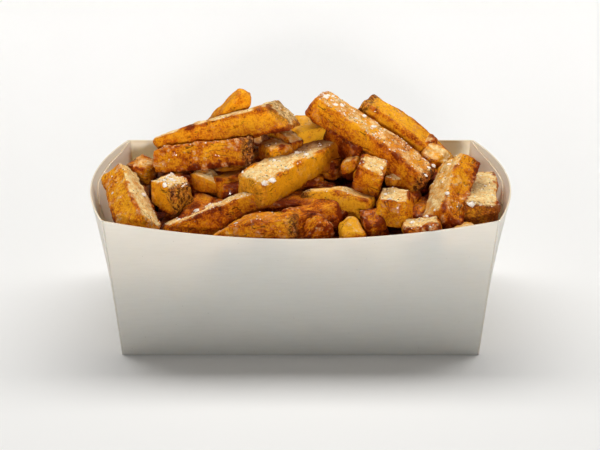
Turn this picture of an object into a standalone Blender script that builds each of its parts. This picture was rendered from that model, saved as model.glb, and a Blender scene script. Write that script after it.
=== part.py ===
"""French fries in an open paperboard carton: a folded tray and the heap of thick-cut fries in it.

Frame: origin at the middle of the tray's underside, +Z up, long side along X, front panel towards -Y.
Sizes are in metres.
"""
import math

import bmesh
import bpy
import numpy as np

MM = 0.001

# Tray
BASE_LENGTH = 165 * MM
BASE_WIDTH = 99 * MM
CORNER_HEIGHT = 69.5 * MM
FLARE = 5.5 * MM
END_BULGE = 11 * MM
FRONT_DIP = 9 * MM
BOARD = 0.55 * MM
FRONT_STEPS = 16
END_STEPS = 16
LEVELS = 6
RIM_HALF_WIDTH = BASE_WIDTH / 2 + FLARE

# The end panels lie outside the glue flaps, a hair past the fold line
OUTER = 0.6 * MM
CORNER_DROP = 0.4
FOLD_PROFILE = ((-0.5, 0.0), (-0.1, 0.25), (0.03, 0.75), (0.12, 0.3), (0.6, 0.3))

# The flaps' cut edge: place across the tray and drop below the rim, both in mm. No flap reaches
# between the two places of FLAPLESS.
FLAP_EDGE = ((-55, 0.4), (-52, 8), (-44, 12), (-36, 16), (-30, 22), (-29.8, 22), (-6.2, 11),
             (-6, 11), (-1, 7), (6, 4.5), (25, 4.0), (45, 3.0), (51, 1.6), (55, 0.4))
FLAPLESS = (-29.9, -6.1)

# Heap
WALL_GAP = 0.45 * MM
FLOOR_GAP = 0.4 * MM
CORE_GAP = 1.2 * MM
CORE_SHOULDER = 36.0
CORE_DOME = 10.0
CORE_SIDES = 40
CORE_POWER = 5.0
CORNER_CUT = 0.18
TIP_TAPER = 0.1
HEAP_EDGE = 61.0
HEAP_RISE = 27.0
HEAP_FRONT = 13.0
FILL_FRIES = 90
FILL_TRIES = 160
FILL_SINK = 1.6
FILL_TIP = 2.0
SHORT_FRIES = 36
SHORT_REACH = (76, 43)
SHORT_ROOM = 8.0
GRID = 2
SEED = 21

# Colours, linear
BOARD_WHITE = (0.60, 0.56, 0.50, 1.0)
FRY_GOLD = (0.55, 0.25, 0.035, 1.0)

# The fries that show from the front. Each row: one end of the axis in mm, the other end in mm,
# width and height in mm, roll in degrees, how full the section is at each end, how far the middle
# arches up in mm, and how long the rounded tips are in mm.
FRONT_FRIES = (
    ((-71, 20, 77), (-2, 9, 99.5), 14, 14, -10, 0.8, 1.12, 0.5, 4.5),
    ((-62, 33, 60), (-25, 25, 105), 11, 11, 20, 1.1, 0.72, 0, 4.0),
    ((-70, 6, 76), (-21, 1, 83), 14, 13, -20, 0.9, 1.0, 0, 2.0),
    ((-19, -1, 80), (-4, 6, 82), 13, 12, 0, 0.95, 0.9, 0, 3.0),
    ((-44, 14, 84), (-35, 11, 84), 6, 5, 0, 0.8, 0.6, 0, 1.5),
    ((-88, 0, 72), (-72, -42, 58), 15, 15, 45, 0.85, 1.0, 0, 2.5),
    ((-82, 12, 70), (-70, 4, 70), 12, 11, 10, 0.9, 1.0, 0, 3.0),
    ((-67, -11, 68), (-53, -25, 68), 14, 13, 0, 1.0, 1.0, 0, 2.0),
    ((-52, -1, 72), (-37, -10, 68), 11, 9, 10, 0.75, 0.7, 0, 3.0),
    ((-42, -8, 65), (-8, 8, 72), 13, 14, -10, 1.0, 1.0, 0, 2.0),
    ((-25, -25, 71), (16, 17, 80), 19, 13, 0, 1.0, 0.95, 0, 2.6),
    ((6, 23, 101), (60, -13, 69.5), 17, 14, 0, 0.8, 1.05, 1.5, 3.0),
    ((30, 33, 95), (70, 22, 67), 13, 13, 10, 1.0, 0.9, 1.5, 2.5),
    ((59, 16, 76), (73, 10, 70), 12, 12, 20, 0.9, 0.8, 0, 3.0),
    ((76, -3, 79), (63, -41, 60), 17, 13, 40, 0.95, 1.0, 1.0, 2.5),
    ((82, -38, 64), (86, 6, 65), 16, 13, 5, 1.0, 0.95, 0, 2.0),
    ((30, -24, 74), (34, -8, 80), 13, 14, 20, 1.0, 1.0, 0, 1.8),
    ((41, -40, 66), (45, -21, 66), 16, 13, 0, 1.0, 1.0, 0, 2.0),
    ((0, -19, 67), (34, -28, 63), 11, 15, -10, 0.5, 1.0, 0, 2.5),
    ((0, -40, 50), (12, -40, 64), 13, 13, 20, 1.0, 0.8, 0, 3.0),
    ((17, -46, 58), (28, -42, 59), 13, 14, 30, 0.7, 0.85, 0, 2.0),
    ((28, -36, 58), (40, -34, 60), 12, 14, 20, 1.0, 1.0, 0, 2.0),
    ((-43, -44, 54), (1, -44, 60), 16, 21, -8, 0.3, 0.75, 0, 3.0),
    ((-64, -40, 53), (-16, -21, 63), 12, 18, -12, 0.9, 0.95, 0, 2.5),
    ((-8, -32, 64), (0, -38, 60), 10, 9, 0, 1.0, 0.9, 0, 2.5),
    ((46, -44, 58), (66, -47, 61), 13, 12, 0, 1.0, 1.0, 0, 2.5),
    ((66, -45, 58), (80, -46, 62), 10, 8, 0, 1.0, 0.8, 0, 2.5),
    ((-4, 29, 86), (7, 11, 83), 18, 12, 0, 1.0, 1.0, 0, 2.0),
    ((-14, 20, 85), (-2, 6, 80), 9, 13, 0, 1.0, 1.0, 0, 2.0),
    ((20, 16, 86), (31, 0, 80), 11, 11, 0, 1.0, 1.0, 0, 2.0),
    ((20, -4, 76), (28, -6, 80), 8, 6, 0, 1.0, 0.8, 0, 1.5),
    ((41, -16, 73), (48, -10, 73), 6, 5, 20, 0.9, 0.7, 0, 1.2),
    ((51, -32, 58), (60, -16, 62), 11, 11, 0, 1.0, 1.0, 0, 2.0),
)


def wall_half_length(y, z):
    """Inside half length of the tray at a place y across it and a height z, flaps included."""
    t = z / CORNER_HEIGHT
    edge = BASE_WIDTH / 2 + FLARE * t
    bow = END_BULGE * t * np.maximum(1 - (y / edge) ** 2, 0)
    return BASE_LENGTH / 2 + FLARE * t + bow - BOARD


def wall_half_width(z):
    """Inside half width of the tray at a height z."""
    return BASE_WIDTH / 2 + FLARE * z / CORNER_HEIGHT - BOARD


def keep_inside(points):
    """Press points that would pass through a wall or the floor back to a small gap inside it."""
    points = np.array(points, dtype=float)
    points[:, 2] = np.maximum(points[:, 2], BOARD + FLOOR_GAP)
    width = wall_half_width(points[:, 2]) - WALL_GAP
    points[:, 1] = np.clip(points[:, 1], -width, width)
    length = wall_half_length(points[:, 1], points[:, 2]) - WALL_GAP
    points[:, 0] = np.clip(points[:, 0], -length, length)
    return points


def material(name, colour, roughness):
    """A Principled material with one flat colour."""
    made = bpy.data.materials.new(name)
    made.use_nodes = True
    shader = made.node_tree.nodes["Principled BSDF"]
    shader.inputs["Base Color"].default_value = colour
    shader.inputs["Roughness"].default_value = roughness
    made.diffuse_color = colour
    return made


def add_object(name, points, faces):
    """A mesh object made of points and faces, with its normals facing out."""
    mesh = bpy.data.meshes.new(name)
    mesh.from_pydata([tuple(point) for point in points], [], faces)
    made = bpy.data.objects.new(name, mesh)
    bpy.context.scene.collection.objects.link(made)
    face_out(made)
    return made


def face_out(piece):
    """Turn every face of a closed mesh outwards."""
    work = bmesh.new()
    work.from_mesh(piece.data)
    bmesh.ops.recalc_face_normals(work, faces=work.faces)
    if work.calc_volume(signed=True) < 0:
        bmesh.ops.reverse_faces(work, faces=work.faces)
    work.to_mesh(piece.data)
    work.free()


def join_with(piece, others, solver):
    """Union a piece with a list of others in one go, then remove the others."""
    group = bpy.data.collections.new("to_join")
    bpy.context.scene.collection.children.link(group)
    for other in others:
        group.objects.link(other)
    union = piece.modifiers.new("union", "BOOLEAN")
    union.operation = "UNION"
    union.operand_type = "COLLECTION"
    union.collection = group
    union.solver = solver
    graph = bpy.context.evaluated_depsgraph_get()
    mesh = bpy.data.meshes.new_from_object(piece.evaluated_get(graph))
    piece.modifiers.clear()
    piece.data = mesh
    for other in others:
        bpy.data.objects.remove(other)
    bpy.data.collections.remove(group)


def end_stops():
    """Rows of one end panel from its front edge to its back edge: share across, drop, flap or not."""
    places, drops = np.transpose([(y / RIM_HALF_WIDTH * MM, drop) for y, drop in FLAP_EDGE])
    shares = [-1 + 2 * i / END_STEPS for i in range(END_STEPS + 1)]
    shares += [place for place in places if min(abs(place - share) for share in shares) > 0.01]
    rows = []
    for share in sorted(shares):
        covered = not FLAPLESS[0] < share * RIM_HALF_WIDTH / MM < FLAPLESS[1]
        rows.append((share, float(np.interp(share, places, drops)), covered))
    return rows


def wall_columns():
    """Columns round the wall, anticlockwise from the front left: side, share, drop, flap, corner."""
    columns = []
    for i in range(FRONT_STEPS + 1):
        share = -1 + 2 * i / FRONT_STEPS
        columns.append(("front", share, CORNER_DROP, True, abs(share) == 1))
    for share, drop, covered in end_stops()[1:-1]:
        columns.append(("right", share, drop, covered, False))
    columns.append(("back", 1.0, CORNER_DROP, True, True))
    columns.append(("back", -1.0, CORNER_DROP, True, True))
    for share, drop, covered in reversed(end_stops()[1:-1]):
        columns.append(("left", share, drop, covered, False))
    return columns


def rim_share(side, share):
    """Flare share at the rim: one, less the dip of the front panel."""
    if side != "front":
        return 1.0
    return 1 - FRONT_DIP * (1 - share ** 2) / CORNER_HEIGHT


def wall_point(side, share, t, out, thick):
    """A point of a panel at flare share t: out past the fold line, or thick inside the face."""
    half_length = BASE_LENGTH / 2 + FLARE * t
    half_width = BASE_WIDTH / 2 + FLARE * t
    height = t * CORNER_HEIGHT
    if side in ("front", "back"):
        sign = -1 if side == "front" else 1
        return (share * (half_length - thick), sign * (half_width - thick), height)
    bow = END_BULGE * t * (1 - share ** 2)
    sign = 1 if side == "right" else -1
    return (sign * (half_length + bow + out), share * (half_width - thick), height)


def fold_points(side, share, t):
    """The outside of a corner: rounded fold, the groove beside it and the end panel's cut edge."""
    half_length = BASE_LENGTH / 2 + FLARE * t
    half_width = BASE_WIDTH / 2 + FLARE * t
    along = 1 if share > 0 else -1
    away = -1 if side == "front" else 1
    points = []
    for past, back in FOLD_PROFILE:
        points.append((along * (half_length + past * MM), away * (half_width - back * MM),
                       t * CORNER_HEIGHT))
    leaving = (share > 0) == (side == "front")
    return points if leaving else points[::-1]


def outer_rows(columns):
    """Rings of the outside from the base to the rim, and which column each point stands by."""
    rings, owners = [], []
    for step in range(LEVELS + 1):
        ring, owner = [], []
        for index, (side, share, _, _, corner) in enumerate(columns):
            t = rim_share(side, share) * step / LEVELS
            found = fold_points(side, share, t) if corner else [wall_point(side, share, t, OUTER, 0)]
            ring += found
            owner += [index] * len(found)
        rings.append(ring)
        owners = owner
    return rings, owners


def inner_rows(columns):
    """Rings of the inside from the floor to the rim, stepping out above each flap's cut edge."""
    rings = []
    floor = BOARD / CORNER_HEIGHT
    for step in range(LEVELS + 2):
        ring = []
        for side, share, drop, covered, corner in columns:
            rim = rim_share(side, share)
            flap_top = rim - drop * MM / CORNER_HEIGHT
            t = floor + (flap_top - floor) * step / (LEVELS - 1)
            if step == LEVELS:
                t = flap_top + (rim - flap_top) * 0.4
            if step > LEVELS:
                t = rim
            plain = not corner and (step >= LEVELS or not covered)
            ring.append(wall_point(side, share, t, OUTER - BOARD if plain else -BOARD, BOARD))
        rings.append(ring)
    return rings


def build_tray():
    """The carton: floor, leaning walls and the glue flaps inside both ends, as one folded sheet."""
    columns = wall_columns()
    outer, owners = outer_rows(columns)
    inner = inner_rows(columns)
    wide, narrow = len(owners), len(columns)
    points = [point for ring in outer + inner for point in ring]
    shift = wide * len(outer)
    faces = [list(range(wide)), list(range(shift, shift + narrow))]
    for level in range(len(outer) - 1):
        for i in range(wide):
            j = (i + 1) % wide
            low, high = wide * level, wide * (level + 1)
            faces.append([low + i, low + j, high + j, high + i])
    for level in range(len(inner) - 1):
        for i in range(narrow):
            j = (i + 1) % narrow
            low, high = shift + narrow * level, shift + narrow * (level + 1)
            faces.append([low + i, low + j, high + j, high + i])
    top, rim = wide * (len(outer) - 1), shift + narrow * (len(inner) - 1)
    for i in range(wide):
        j = (i + 1) % wide
        face = [top + i, top + j, rim + owners[j]]
        if owners[i] != owners[j]:
            face.append(rim + owners[i])
        faces.append(face)
    shell = add_object("tray", points, faces)
    shell.data.materials.append(material("paperboard", BOARD_WHITE, 0.75))
    return shell


def fry_axes(start, end, roll):
    """Unit vectors along a fry, across it and up through it."""
    along = (end - start) / np.linalg.norm(end - start)
    across = np.cross((0.0, 0.0, 1.0), along)
    if np.linalg.norm(across) < 0.05:
        across = np.array((1.0, 0.0, 0.0))
    across /= np.linalg.norm(across)
    up = np.cross(along, across)
    turn = math.radians(roll)
    across, up = (across * math.cos(turn) + up * math.sin(turn),
                  up * math.cos(turn) - across * math.sin(turn))
    return along, across, up


def fry_section(width, height):
    """Eight corners of a fry's section: a box with its corners cut."""
    cut = CORNER_CUT * min(width, height)
    a, b = width / 2, height / 2
    return np.array(((-a, -b + cut), (-a + cut, -b), (a - cut, -b), (a, -b + cut),
                     (a, b - cut), (a - cut, b), (-a + cut, b), (-a, b - cut)))


def add_fry(number, row):
    """One fry: a chamfered bar with a slight arch, uneven width and tapered tips."""
    start, end, width, height, roll, full_start, full_end, arch, tip = row
    start, end = np.array(start) * MM, np.array(end) * MM
    length = np.linalg.norm(end - start)
    along, across, up = fry_axes(start, end, roll)
    section = fry_section(width * MM, height * MM)
    tip_share = min(tip * MM / length, 0.25)
    shares = np.array((0.0, tip_share, 0.36, 0.68, 1 - tip_share, 1.0))
    rings = []
    for step, share in enumerate(shares):
        full = 1 - (1 - full_start) * max(1 - 2 * share, 0) - (1 - full_end) * max(2 * share - 1, 0)
        full *= 1 + 0.04 * math.sin(5.1 * share + 2.4 * number)
        if step in (0, len(shares) - 1):
            full *= 1 - TIP_TAPER * tip
        bend = arch * MM * (1 - (2 * share - 1) ** 2)
        middle = start + along * share * length + up * bend
        rings.append(middle + full * (section[:, :1] * across + section[:, 1:] * up))
    points = keep_inside(np.concatenate(rings))
    faces = []
    for ring in range(len(shares) - 1):
        for i in range(8):
            j = (i + 1) % 8
            faces.append([8 * ring + i, 8 * ring + j, 8 * ring + 8 + j, 8 * ring + 8 + i])
    faces.append(list(range(8)))
    faces.append(list(range(8 * (len(shares) - 1), 8 * len(shares))))
    return add_object("fry", points, faces)


def heap_top(x, y):
    """Height in mm of the heap's outline at a place in mm; lower in front, where listed fries lie."""
    across = np.clip((y - 5) / 52, -1, 1)
    ahead = np.clip((12 - y) / 12, 0, 1)
    swell = (1 - abs(x / 86) ** 3) * (1 - across ** 2) ** 0.8
    return HEAP_EDGE + HEAP_RISE * swell - HEAP_FRONT * ahead


def core_top(x, y):
    """Height in mm of the core's rounded top at a place in mm."""
    reach = (abs(x) / 86) ** 3 + (abs(y) / 51) ** 3
    return CORE_SHOULDER + CORE_DOME * np.sqrt(np.clip(1 - reach, 0, 1))


def resting_line(along, heights):
    """Height at the middle and slope of the line that rests on the heights from both sides."""
    left, right = along < 0, along > 0
    s_left, h_left = along[left][:, None], heights[left][:, None]
    s_right, h_right = along[right][None, :], heights[right][None, :]
    middle = (h_left * s_right - h_right * s_left) / (s_right - s_left)
    slope = (h_right - h_left) / (s_right - s_left)
    i, j = np.unravel_index(np.argmax(middle), middle.shape)
    return middle[i, j], slope[i, j]


def settled_fries():
    """The rest of the heap: fries laid one by one on what lies below, largest first, seeded."""
    draw = np.random.default_rng(SEED)
    xs, ys = np.arange(-100, 101, GRID), np.arange(-56, 57, GRID)
    grid_x, grid_y = np.meshgrid(xs, ys, indexing="ij")
    ground = core_top(grid_x, grid_y)
    share = np.linspace(-1, 1, 14)
    rows = []
    for number in range(FILL_FRIES):
        length = 56 - 26 * number / FILL_FRIES + draw.uniform(-4, 4)
        width, height = draw.uniform(12, 15), draw.uniform(11, 13.5)
        best, best_room = None, 0.0
        for _ in range(FILL_TRIES):
            x, y = draw.uniform(-80, 80), draw.uniform(-44, 47)
            turn = draw.uniform(0, math.pi)
            ahead, side = (math.cos(turn), math.sin(turn)), (-math.sin(turn), math.cos(turn))
            s, v = np.meshgrid(share * length / 2, np.linspace(-1, 1, 5) * width / 2, indexing="ij")
            px, py = x + s * ahead[0] + v * side[0], y + s * ahead[1] + v * side[1]
            if abs(px).max() > 86 or abs(py).max() > 52:
                continue
            i = np.rint((px + 100) / GRID).astype(int)
            j = np.rint((py + 56) / GRID).astype(int)
            middle, slope = resting_line(share * length / 2, ground[i, j].max(axis=1))
            room = heap_top(x, y) - middle - height
            reach = length / 2 * np.array((-1, 1))
            ends = middle + slope * reach + height
            spare = heap_top(x + reach * ahead[0], y + reach * ahead[1]) - ends
            if abs(slope) < 0.55 and spare.min() > -5 and room > best_room:
                best, best_room = (x, y, ahead, side, middle - FILL_SINK, slope), room
        if best is None:
            continue
        x, y, ahead, side, middle, slope = best
        flat = length / 2 / math.hypot(1, slope)
        lift = height / 2 * math.hypot(1, slope)
        start = (x - flat * ahead[0], y - flat * ahead[1], middle - slope * flat + lift)
        end = (x + flat * ahead[0], y + flat * ahead[1], middle + slope * flat + lift)
        arch = 0.02 * length * math.sin(1.7 * number)
        rows.append((start, end, width, height, draw.uniform(-12, 12), 0.95, 0.95, arch, FILL_TIP))
        s = (grid_x - x) * ahead[0] + (grid_y - y) * ahead[1]
        v = (grid_x - x) * side[0] + (grid_y - y) * side[1]
        under = (abs(s) <= flat) & (abs(v) <= width / 2)
        top = middle + slope * s + 2 * lift
        ground = np.where(under, np.maximum(ground, top), ground)
    return rows + short_fries(draw, ground, grid_x, grid_y)


def short_fries(draw, ground, grid_x, grid_y):
    """Short fries, each dropped into the deepest gap left, turned the way that lets it lie lowest."""
    reachable = (abs(grid_x) < SHORT_REACH[0]) & (abs(grid_y) < SHORT_REACH[1])
    rows = []
    for _ in range(SHORT_FRIES):
        room = np.where(reachable, heap_top(grid_x, grid_y) - ground, -20.0)
        near = [np.roll(room, (i, j), (0, 1)) for i in range(-2, 3) for j in range(-2, 3)]
        room = np.mean(near, axis=0)
        if room.max() < SHORT_ROOM:
            break
        spot = np.unravel_index(np.argmax(room), room.shape)
        x, y = grid_x[spot], grid_y[spot]
        length, width, height = draw.uniform(24, 34), draw.uniform(11, 14), draw.uniform(10, 13)
        first, options = draw.uniform(0, math.pi), []
        for turn in first + np.arange(8) * math.pi / 8:
            s = (grid_x - x) * math.cos(turn) + (grid_y - y) * math.sin(turn)
            v = (grid_y - y) * math.cos(turn) - (grid_x - x) * math.sin(turn)
            under = (abs(s) <= length / 2) & (abs(v) <= width / 2)
            options.append((float(ground[under].mean()), turn, s, under))
        level, turn, s, under = min(options, key=lambda option: option[0])
        slope = draw.uniform(-0.25, 0.25)
        middle = np.array((x, y, level + height / 2 - FILL_SINK))
        reach = np.array((math.cos(turn), math.sin(turn), slope)) * length / 2
        rows.append((tuple(middle - reach), tuple(middle + reach), width, height, 0, 0.95, 0.9, 0,
                     FILL_TIP))
        top = middle[2] + slope * s + height / 2
        ground = np.where(under, np.maximum(ground, top), ground)
    return rows


def add_core():
    """The middle of the heap: a rounded block that follows the tray, with a low domed top."""
    floor = BOARD + FLOOR_GAP
    levels = [(floor, 1.0), (CORE_SHOULDER * MM, 1.0)]
    levels += [((CORE_SHOULDER + CORE_DOME * math.sqrt(1 - size ** 3)) * MM, size)
               for size in (0.97, 0.9, 0.78, 0.6, 0.35)]
    rings = []
    angle = np.linspace(0, 2 * math.pi, CORE_SIDES, endpoint=False)
    power = 2 / CORE_POWER
    for height, size in levels:
        near = min(height, CORE_SHOULDER * MM)
        a = (wall_half_length(wall_half_width(near), near) - CORE_GAP) * size
        b = (wall_half_width(near) - CORE_GAP) * size
        x = a * np.sign(np.cos(angle)) * abs(np.cos(angle)) ** power
        y = b * np.sign(np.sin(angle)) * abs(np.sin(angle)) ** power
        rings.append(np.stack((x, y, np.full_like(x, height)), axis=1))
    points = np.concatenate(rings)
    faces = []
    for ring in range(len(levels) - 1):
        for i in range(CORE_SIDES):
            j = (i + 1) % CORE_SIDES
            low, high = CORE_SIDES * ring, CORE_SIDES * (ring + 1)
            faces.append([low + i, low + j, high + j, high + i])
    faces.append(list(range(CORE_SIDES)))
    faces.append(list(range(CORE_SIDES * (len(levels) - 1), CORE_SIDES * len(levels))))
    return add_object("fries", points, faces)


def keep_largest(piece):
    """Drop loose scraps and sealed hollows: only the largest connected shell stays."""
    work = bmesh.new()
    work.from_mesh(piece.data)
    bmesh.ops.remove_doubles(work, verts=work.verts, dist=0.001 * MM)
    unseen = set(work.verts)
    shells = []
    while unseen:
        shell, edge = set(), [unseen.pop()]
        while edge:
            vert = edge.pop()
            shell.add(vert)
            for link in vert.link_edges:
                other = link.other_vert(vert)
                if other in unseen:
                    unseen.discard(other)
                    edge.append(other)
        shells.append(shell)
    shells.sort(key=len)
    for shell in shells[:-1]:
        bmesh.ops.delete(work, geom=list(shell), context="VERTS")
    work.to_mesh(piece.data)
    work.free()


def build_fries():
    """The heap: the core with every fry fused on."""
    core = add_core()
    rows = list(FRONT_FRIES) + settled_fries()
    pieces = [add_fry(number, row) for number, row in enumerate(rows)]
    join_with(core, pieces, "EXACT")
    keep_largest(core)
    face_out(core)
    core.data.materials.clear()
    core.data.materials.append(material("fried_potato", FRY_GOLD, 0.55))
    return core


def main():
    """Clear the scene and build both nodes."""
    for leftover in list(bpy.data.objects):
        bpy.data.objects.remove(leftover)
    build_tray()
    build_fries()


main()
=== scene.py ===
"""French fries in an open paperboard carton: the fine surfaces, materials, light and camera.

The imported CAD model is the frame. The carton and every fry are made again here as fine meshes of
the same form and place, with salt and pepper on top, on a plain pale floor in soft studio light.
Frame: origin at the middle of the carton's underside, +Z up, long side along X, metres.
"""

import logging
import math
from dataclasses import dataclass, field
from enum import Enum
from typing import Any, Mapping, Sequence

import bpy
import numpy as np
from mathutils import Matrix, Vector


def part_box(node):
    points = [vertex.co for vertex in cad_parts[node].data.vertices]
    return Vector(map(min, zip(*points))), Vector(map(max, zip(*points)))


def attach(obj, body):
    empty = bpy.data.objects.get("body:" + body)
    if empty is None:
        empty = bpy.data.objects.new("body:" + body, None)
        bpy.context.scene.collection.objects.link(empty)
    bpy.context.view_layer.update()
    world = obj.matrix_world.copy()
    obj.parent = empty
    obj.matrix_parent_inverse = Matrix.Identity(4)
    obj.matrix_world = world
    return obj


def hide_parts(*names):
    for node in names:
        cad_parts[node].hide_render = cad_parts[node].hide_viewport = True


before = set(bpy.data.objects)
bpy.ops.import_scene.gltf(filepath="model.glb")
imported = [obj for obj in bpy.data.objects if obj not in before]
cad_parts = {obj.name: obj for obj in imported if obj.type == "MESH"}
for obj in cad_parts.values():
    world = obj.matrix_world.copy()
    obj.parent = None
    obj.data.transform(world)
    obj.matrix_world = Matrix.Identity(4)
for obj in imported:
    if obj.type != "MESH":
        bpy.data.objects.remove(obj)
LOG = logging.getLogger("fries")

Array = np.ndarray
Colour = tuple[float, float, float]
Place = tuple[float, float, float]
Row = tuple[Place, Place, float, float, float, float, float, float, float]
Ring = tuple[Array, float, float]

MM = 0.001
NO_LENGTH = 1e-12

# Carton: its base, its corners, how far its walls lean out and its ends bow at the corners' height,
# and the front rim's dip. An end panel's outer face lies OUTER outside its flaps' outer faces.
BASE_LENGTH = 165 * MM
BASE_WIDTH = 99 * MM
CORNER_HEIGHT = 69.5 * MM
FLARE = 5.5 * MM
END_BULGE = 11 * MM
FRONT_DIP = 9 * MM
BOARD = 0.55 * MM
OUTER = 0.6 * MM
FILLET = 0.5 * MM
RIM_HALF_WIDTH = BASE_WIDTH / 2 + FLARE

# A corner's fold: how far each point lies past the end's fold line and back from the long panel, mm
FOLD_PROFILE = ((-0.5, 0.0), (-0.1, 0.25), (0.03, 0.75), (0.12, 0.3), (0.6, 0.3))

# Upper edge of the flaps inside an end: place across, and drop below the rim, in mm. No flap covers
# the end between the two places of FLAPLESS, and CORNER_DROP is the drop along the long panels.
FLAP_EDGE = ((-55, 0.4), (-52, 8), (-44, 12), (-36, 16), (-30, 22), (-29.8, 22), (-6.2, 11),
             (-6, 11), (-1, 7), (6, 4.5), (25, 4.0), (45, 3.0), (51, 1.6), (55, 0.4))
FLAPLESS = (-29.9, -6.1)
CORNER_DROP = 0.4

# Width of the rings beside a cut edge, and how much of the inside's warm tone, a painted bounce
# light from the fries, a flap has
HAIR = 0.04 * MM
FLAP_PAINTED_WARMTH = 0.35

# Heap: gaps to the board, then the core's shoulder, dome and reach in mm
WALL_GAP = 0.45 * MM
FLOOR_GAP = 0.4 * MM
CORE_GAP = 1.2 * MM
CORE_SHOULDER = 36.0
CORE_DOME = 10.0
CORE_REACH = (86, 51)
CORE_POWER = 5.0

# The heap's outline in mm: its edge, its rise over that, its crest's place across, how far it
# reaches along and across, and how much lower it is in front of FRONT_EDGE
HEAP_EDGE = 61.0
HEAP_RISE = 27.0
HEAP_CREST = 5
HEAP_REACH = (86, 52)
HEAP_FRONT = 13.0
FRONT_EDGE = 12

# Settled fries, in mm: how many, tries for each, the first one's length, how much shorter the last
# one is, their widths and heights, where their middles may lie, their steepest slope, how far an end
# may stand out of the outline, how far they sink in, their rounded tips, and how full their ends are
FILL_FRIES = 90
FILL_TRIES = 160
FILL_LENGTH = 56
FILL_SHORTER = 26
FILL_WIDTHS = (12, 15)
FILL_HEIGHTS = (11, 13.5)
MIDDLE_ALONG = (-80, 80)
MIDDLE_ACROSS = (-44, 47)
STEEPEST = 0.55
STAND_OUT = 5
FILL_SINK = 1.6
FILL_TIP = 2.0
FILL_FULL = 0.95

# Short fries that close the gaps: how many, their sizes, within what reach, and the least room they
# need, in mm; each tries SHORT_TURNS directions
SHORT_FRIES = 36
SHORT_LENGTHS = (24, 34)
SHORT_WIDTHS = (11, 14)
SHORT_HEIGHTS = (10, 13)
SHORT_SLOPES = (-0.25, 0.25)
SHORT_REACH = (76, 43)
SHORT_ROOM = 8.0
SHORT_TURNS = 8
NO_ROOM = -20.0

# Height grids, in mm: a cell's edge, the ground's half sizes, and how many cells the grid seen from
# above has along and across, as many as its half sizes in mm. Empty cells have LOWEST_TOP.
GRID = 2
GROUND_HALF = (100, 56)
TOP_CELLS = (104, 60)
LOWEST_TOP = 40.0

# Seeds of the heap's, the settled fries' and the seasoning's random numbers, and of the noises
SEED = 21
STYLE_SEED = 26
SEASONING_SEED = 30
SHAPE_NOISE = 7
PIMPLE_NOISE = 9
PATCH_NOISE = 31

# How far under the tops round it, in mm, a fry's painted shade begins and is full: its colour is
# darkened where other fries lie over it. Settled fries with their middle in front of SHADED_FRONT
# are browner and less pale, a painted shade on the front of the heap. The fries stay SKIM under
# the highest point of the solid.
PAINTED_SHADE_RANGE = (4.5, 22.0)
SHADED_FRONT = 5
SKIM = 0.02 * MM

# Fry surfaces, in mm: radius of the long edges, and how far an end's slanting cut reaches
EDGE_RADIUS = 1.8
CUT_REACH = 18.0
ROUND_RINGS = 6
FACE_RINGS = 6

# Each fry's own end slopes, how far a cut pulls its end back, how much its section wavers, how much
# wider one face is, how far it twists in degrees, and the step to the next fry's noise in mm
OWN_CUT = 0.17
PULL_BACK = 0.7
WAVER = 0.05
WIDER_FACE = 0.12
TWIST = 5
OWN_STEP = (53.1, 17.7, 91.3)
OWN_UV_STEP = (91.3, 47.7)

# Photograph: the camera's place, tilt and lens, fitted to the carton's corners
CAMERA_PLACE = (-0.25 * MM, -662.2 * MM, 319.3 * MM)
CAMERA_TILT = 67.5
LENS = 88.67
SENSOR = 36.0


class Skin(Enum):
    """Which end of a fry still carries potato skin."""

    NONE = "none"
    START = "start"
    END = "end"


class Slot(Enum):
    """Material slots of the record."""

    BOARD = "paperboard"
    POTATO = "fried_potato"


class Side(Enum):
    """Panels of the carton, in their order round the wall."""

    FRONT = 0
    RIGHT = 1
    BACK = 2
    LEFT = 3


@dataclass(frozen=True)
class Style:
    """How one fry was cut and came out of the oil.

    The shares from 0 to 1 are how brown, pale, blistered and yellow it is and how strongly its skin
    shows (husk). Pale sets how pale its upper faces turn, partly as painted light from above.
    Lean, in parts of the normal's x, tips that painted light to one side; the cuts are the ends'
    slopes, across and up.
    """

    brown: float = 0.5
    pale: float = 0.75
    blister: float = 0.4
    skin: Skin = Skin.NONE
    yellow: float = 0.2
    lean: float = 0.0
    husk: float = 0.6
    start_cut: tuple[float, float] = (0.0, 0.0)
    end_cut: tuple[float, float] = (0.0, 0.0)


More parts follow.
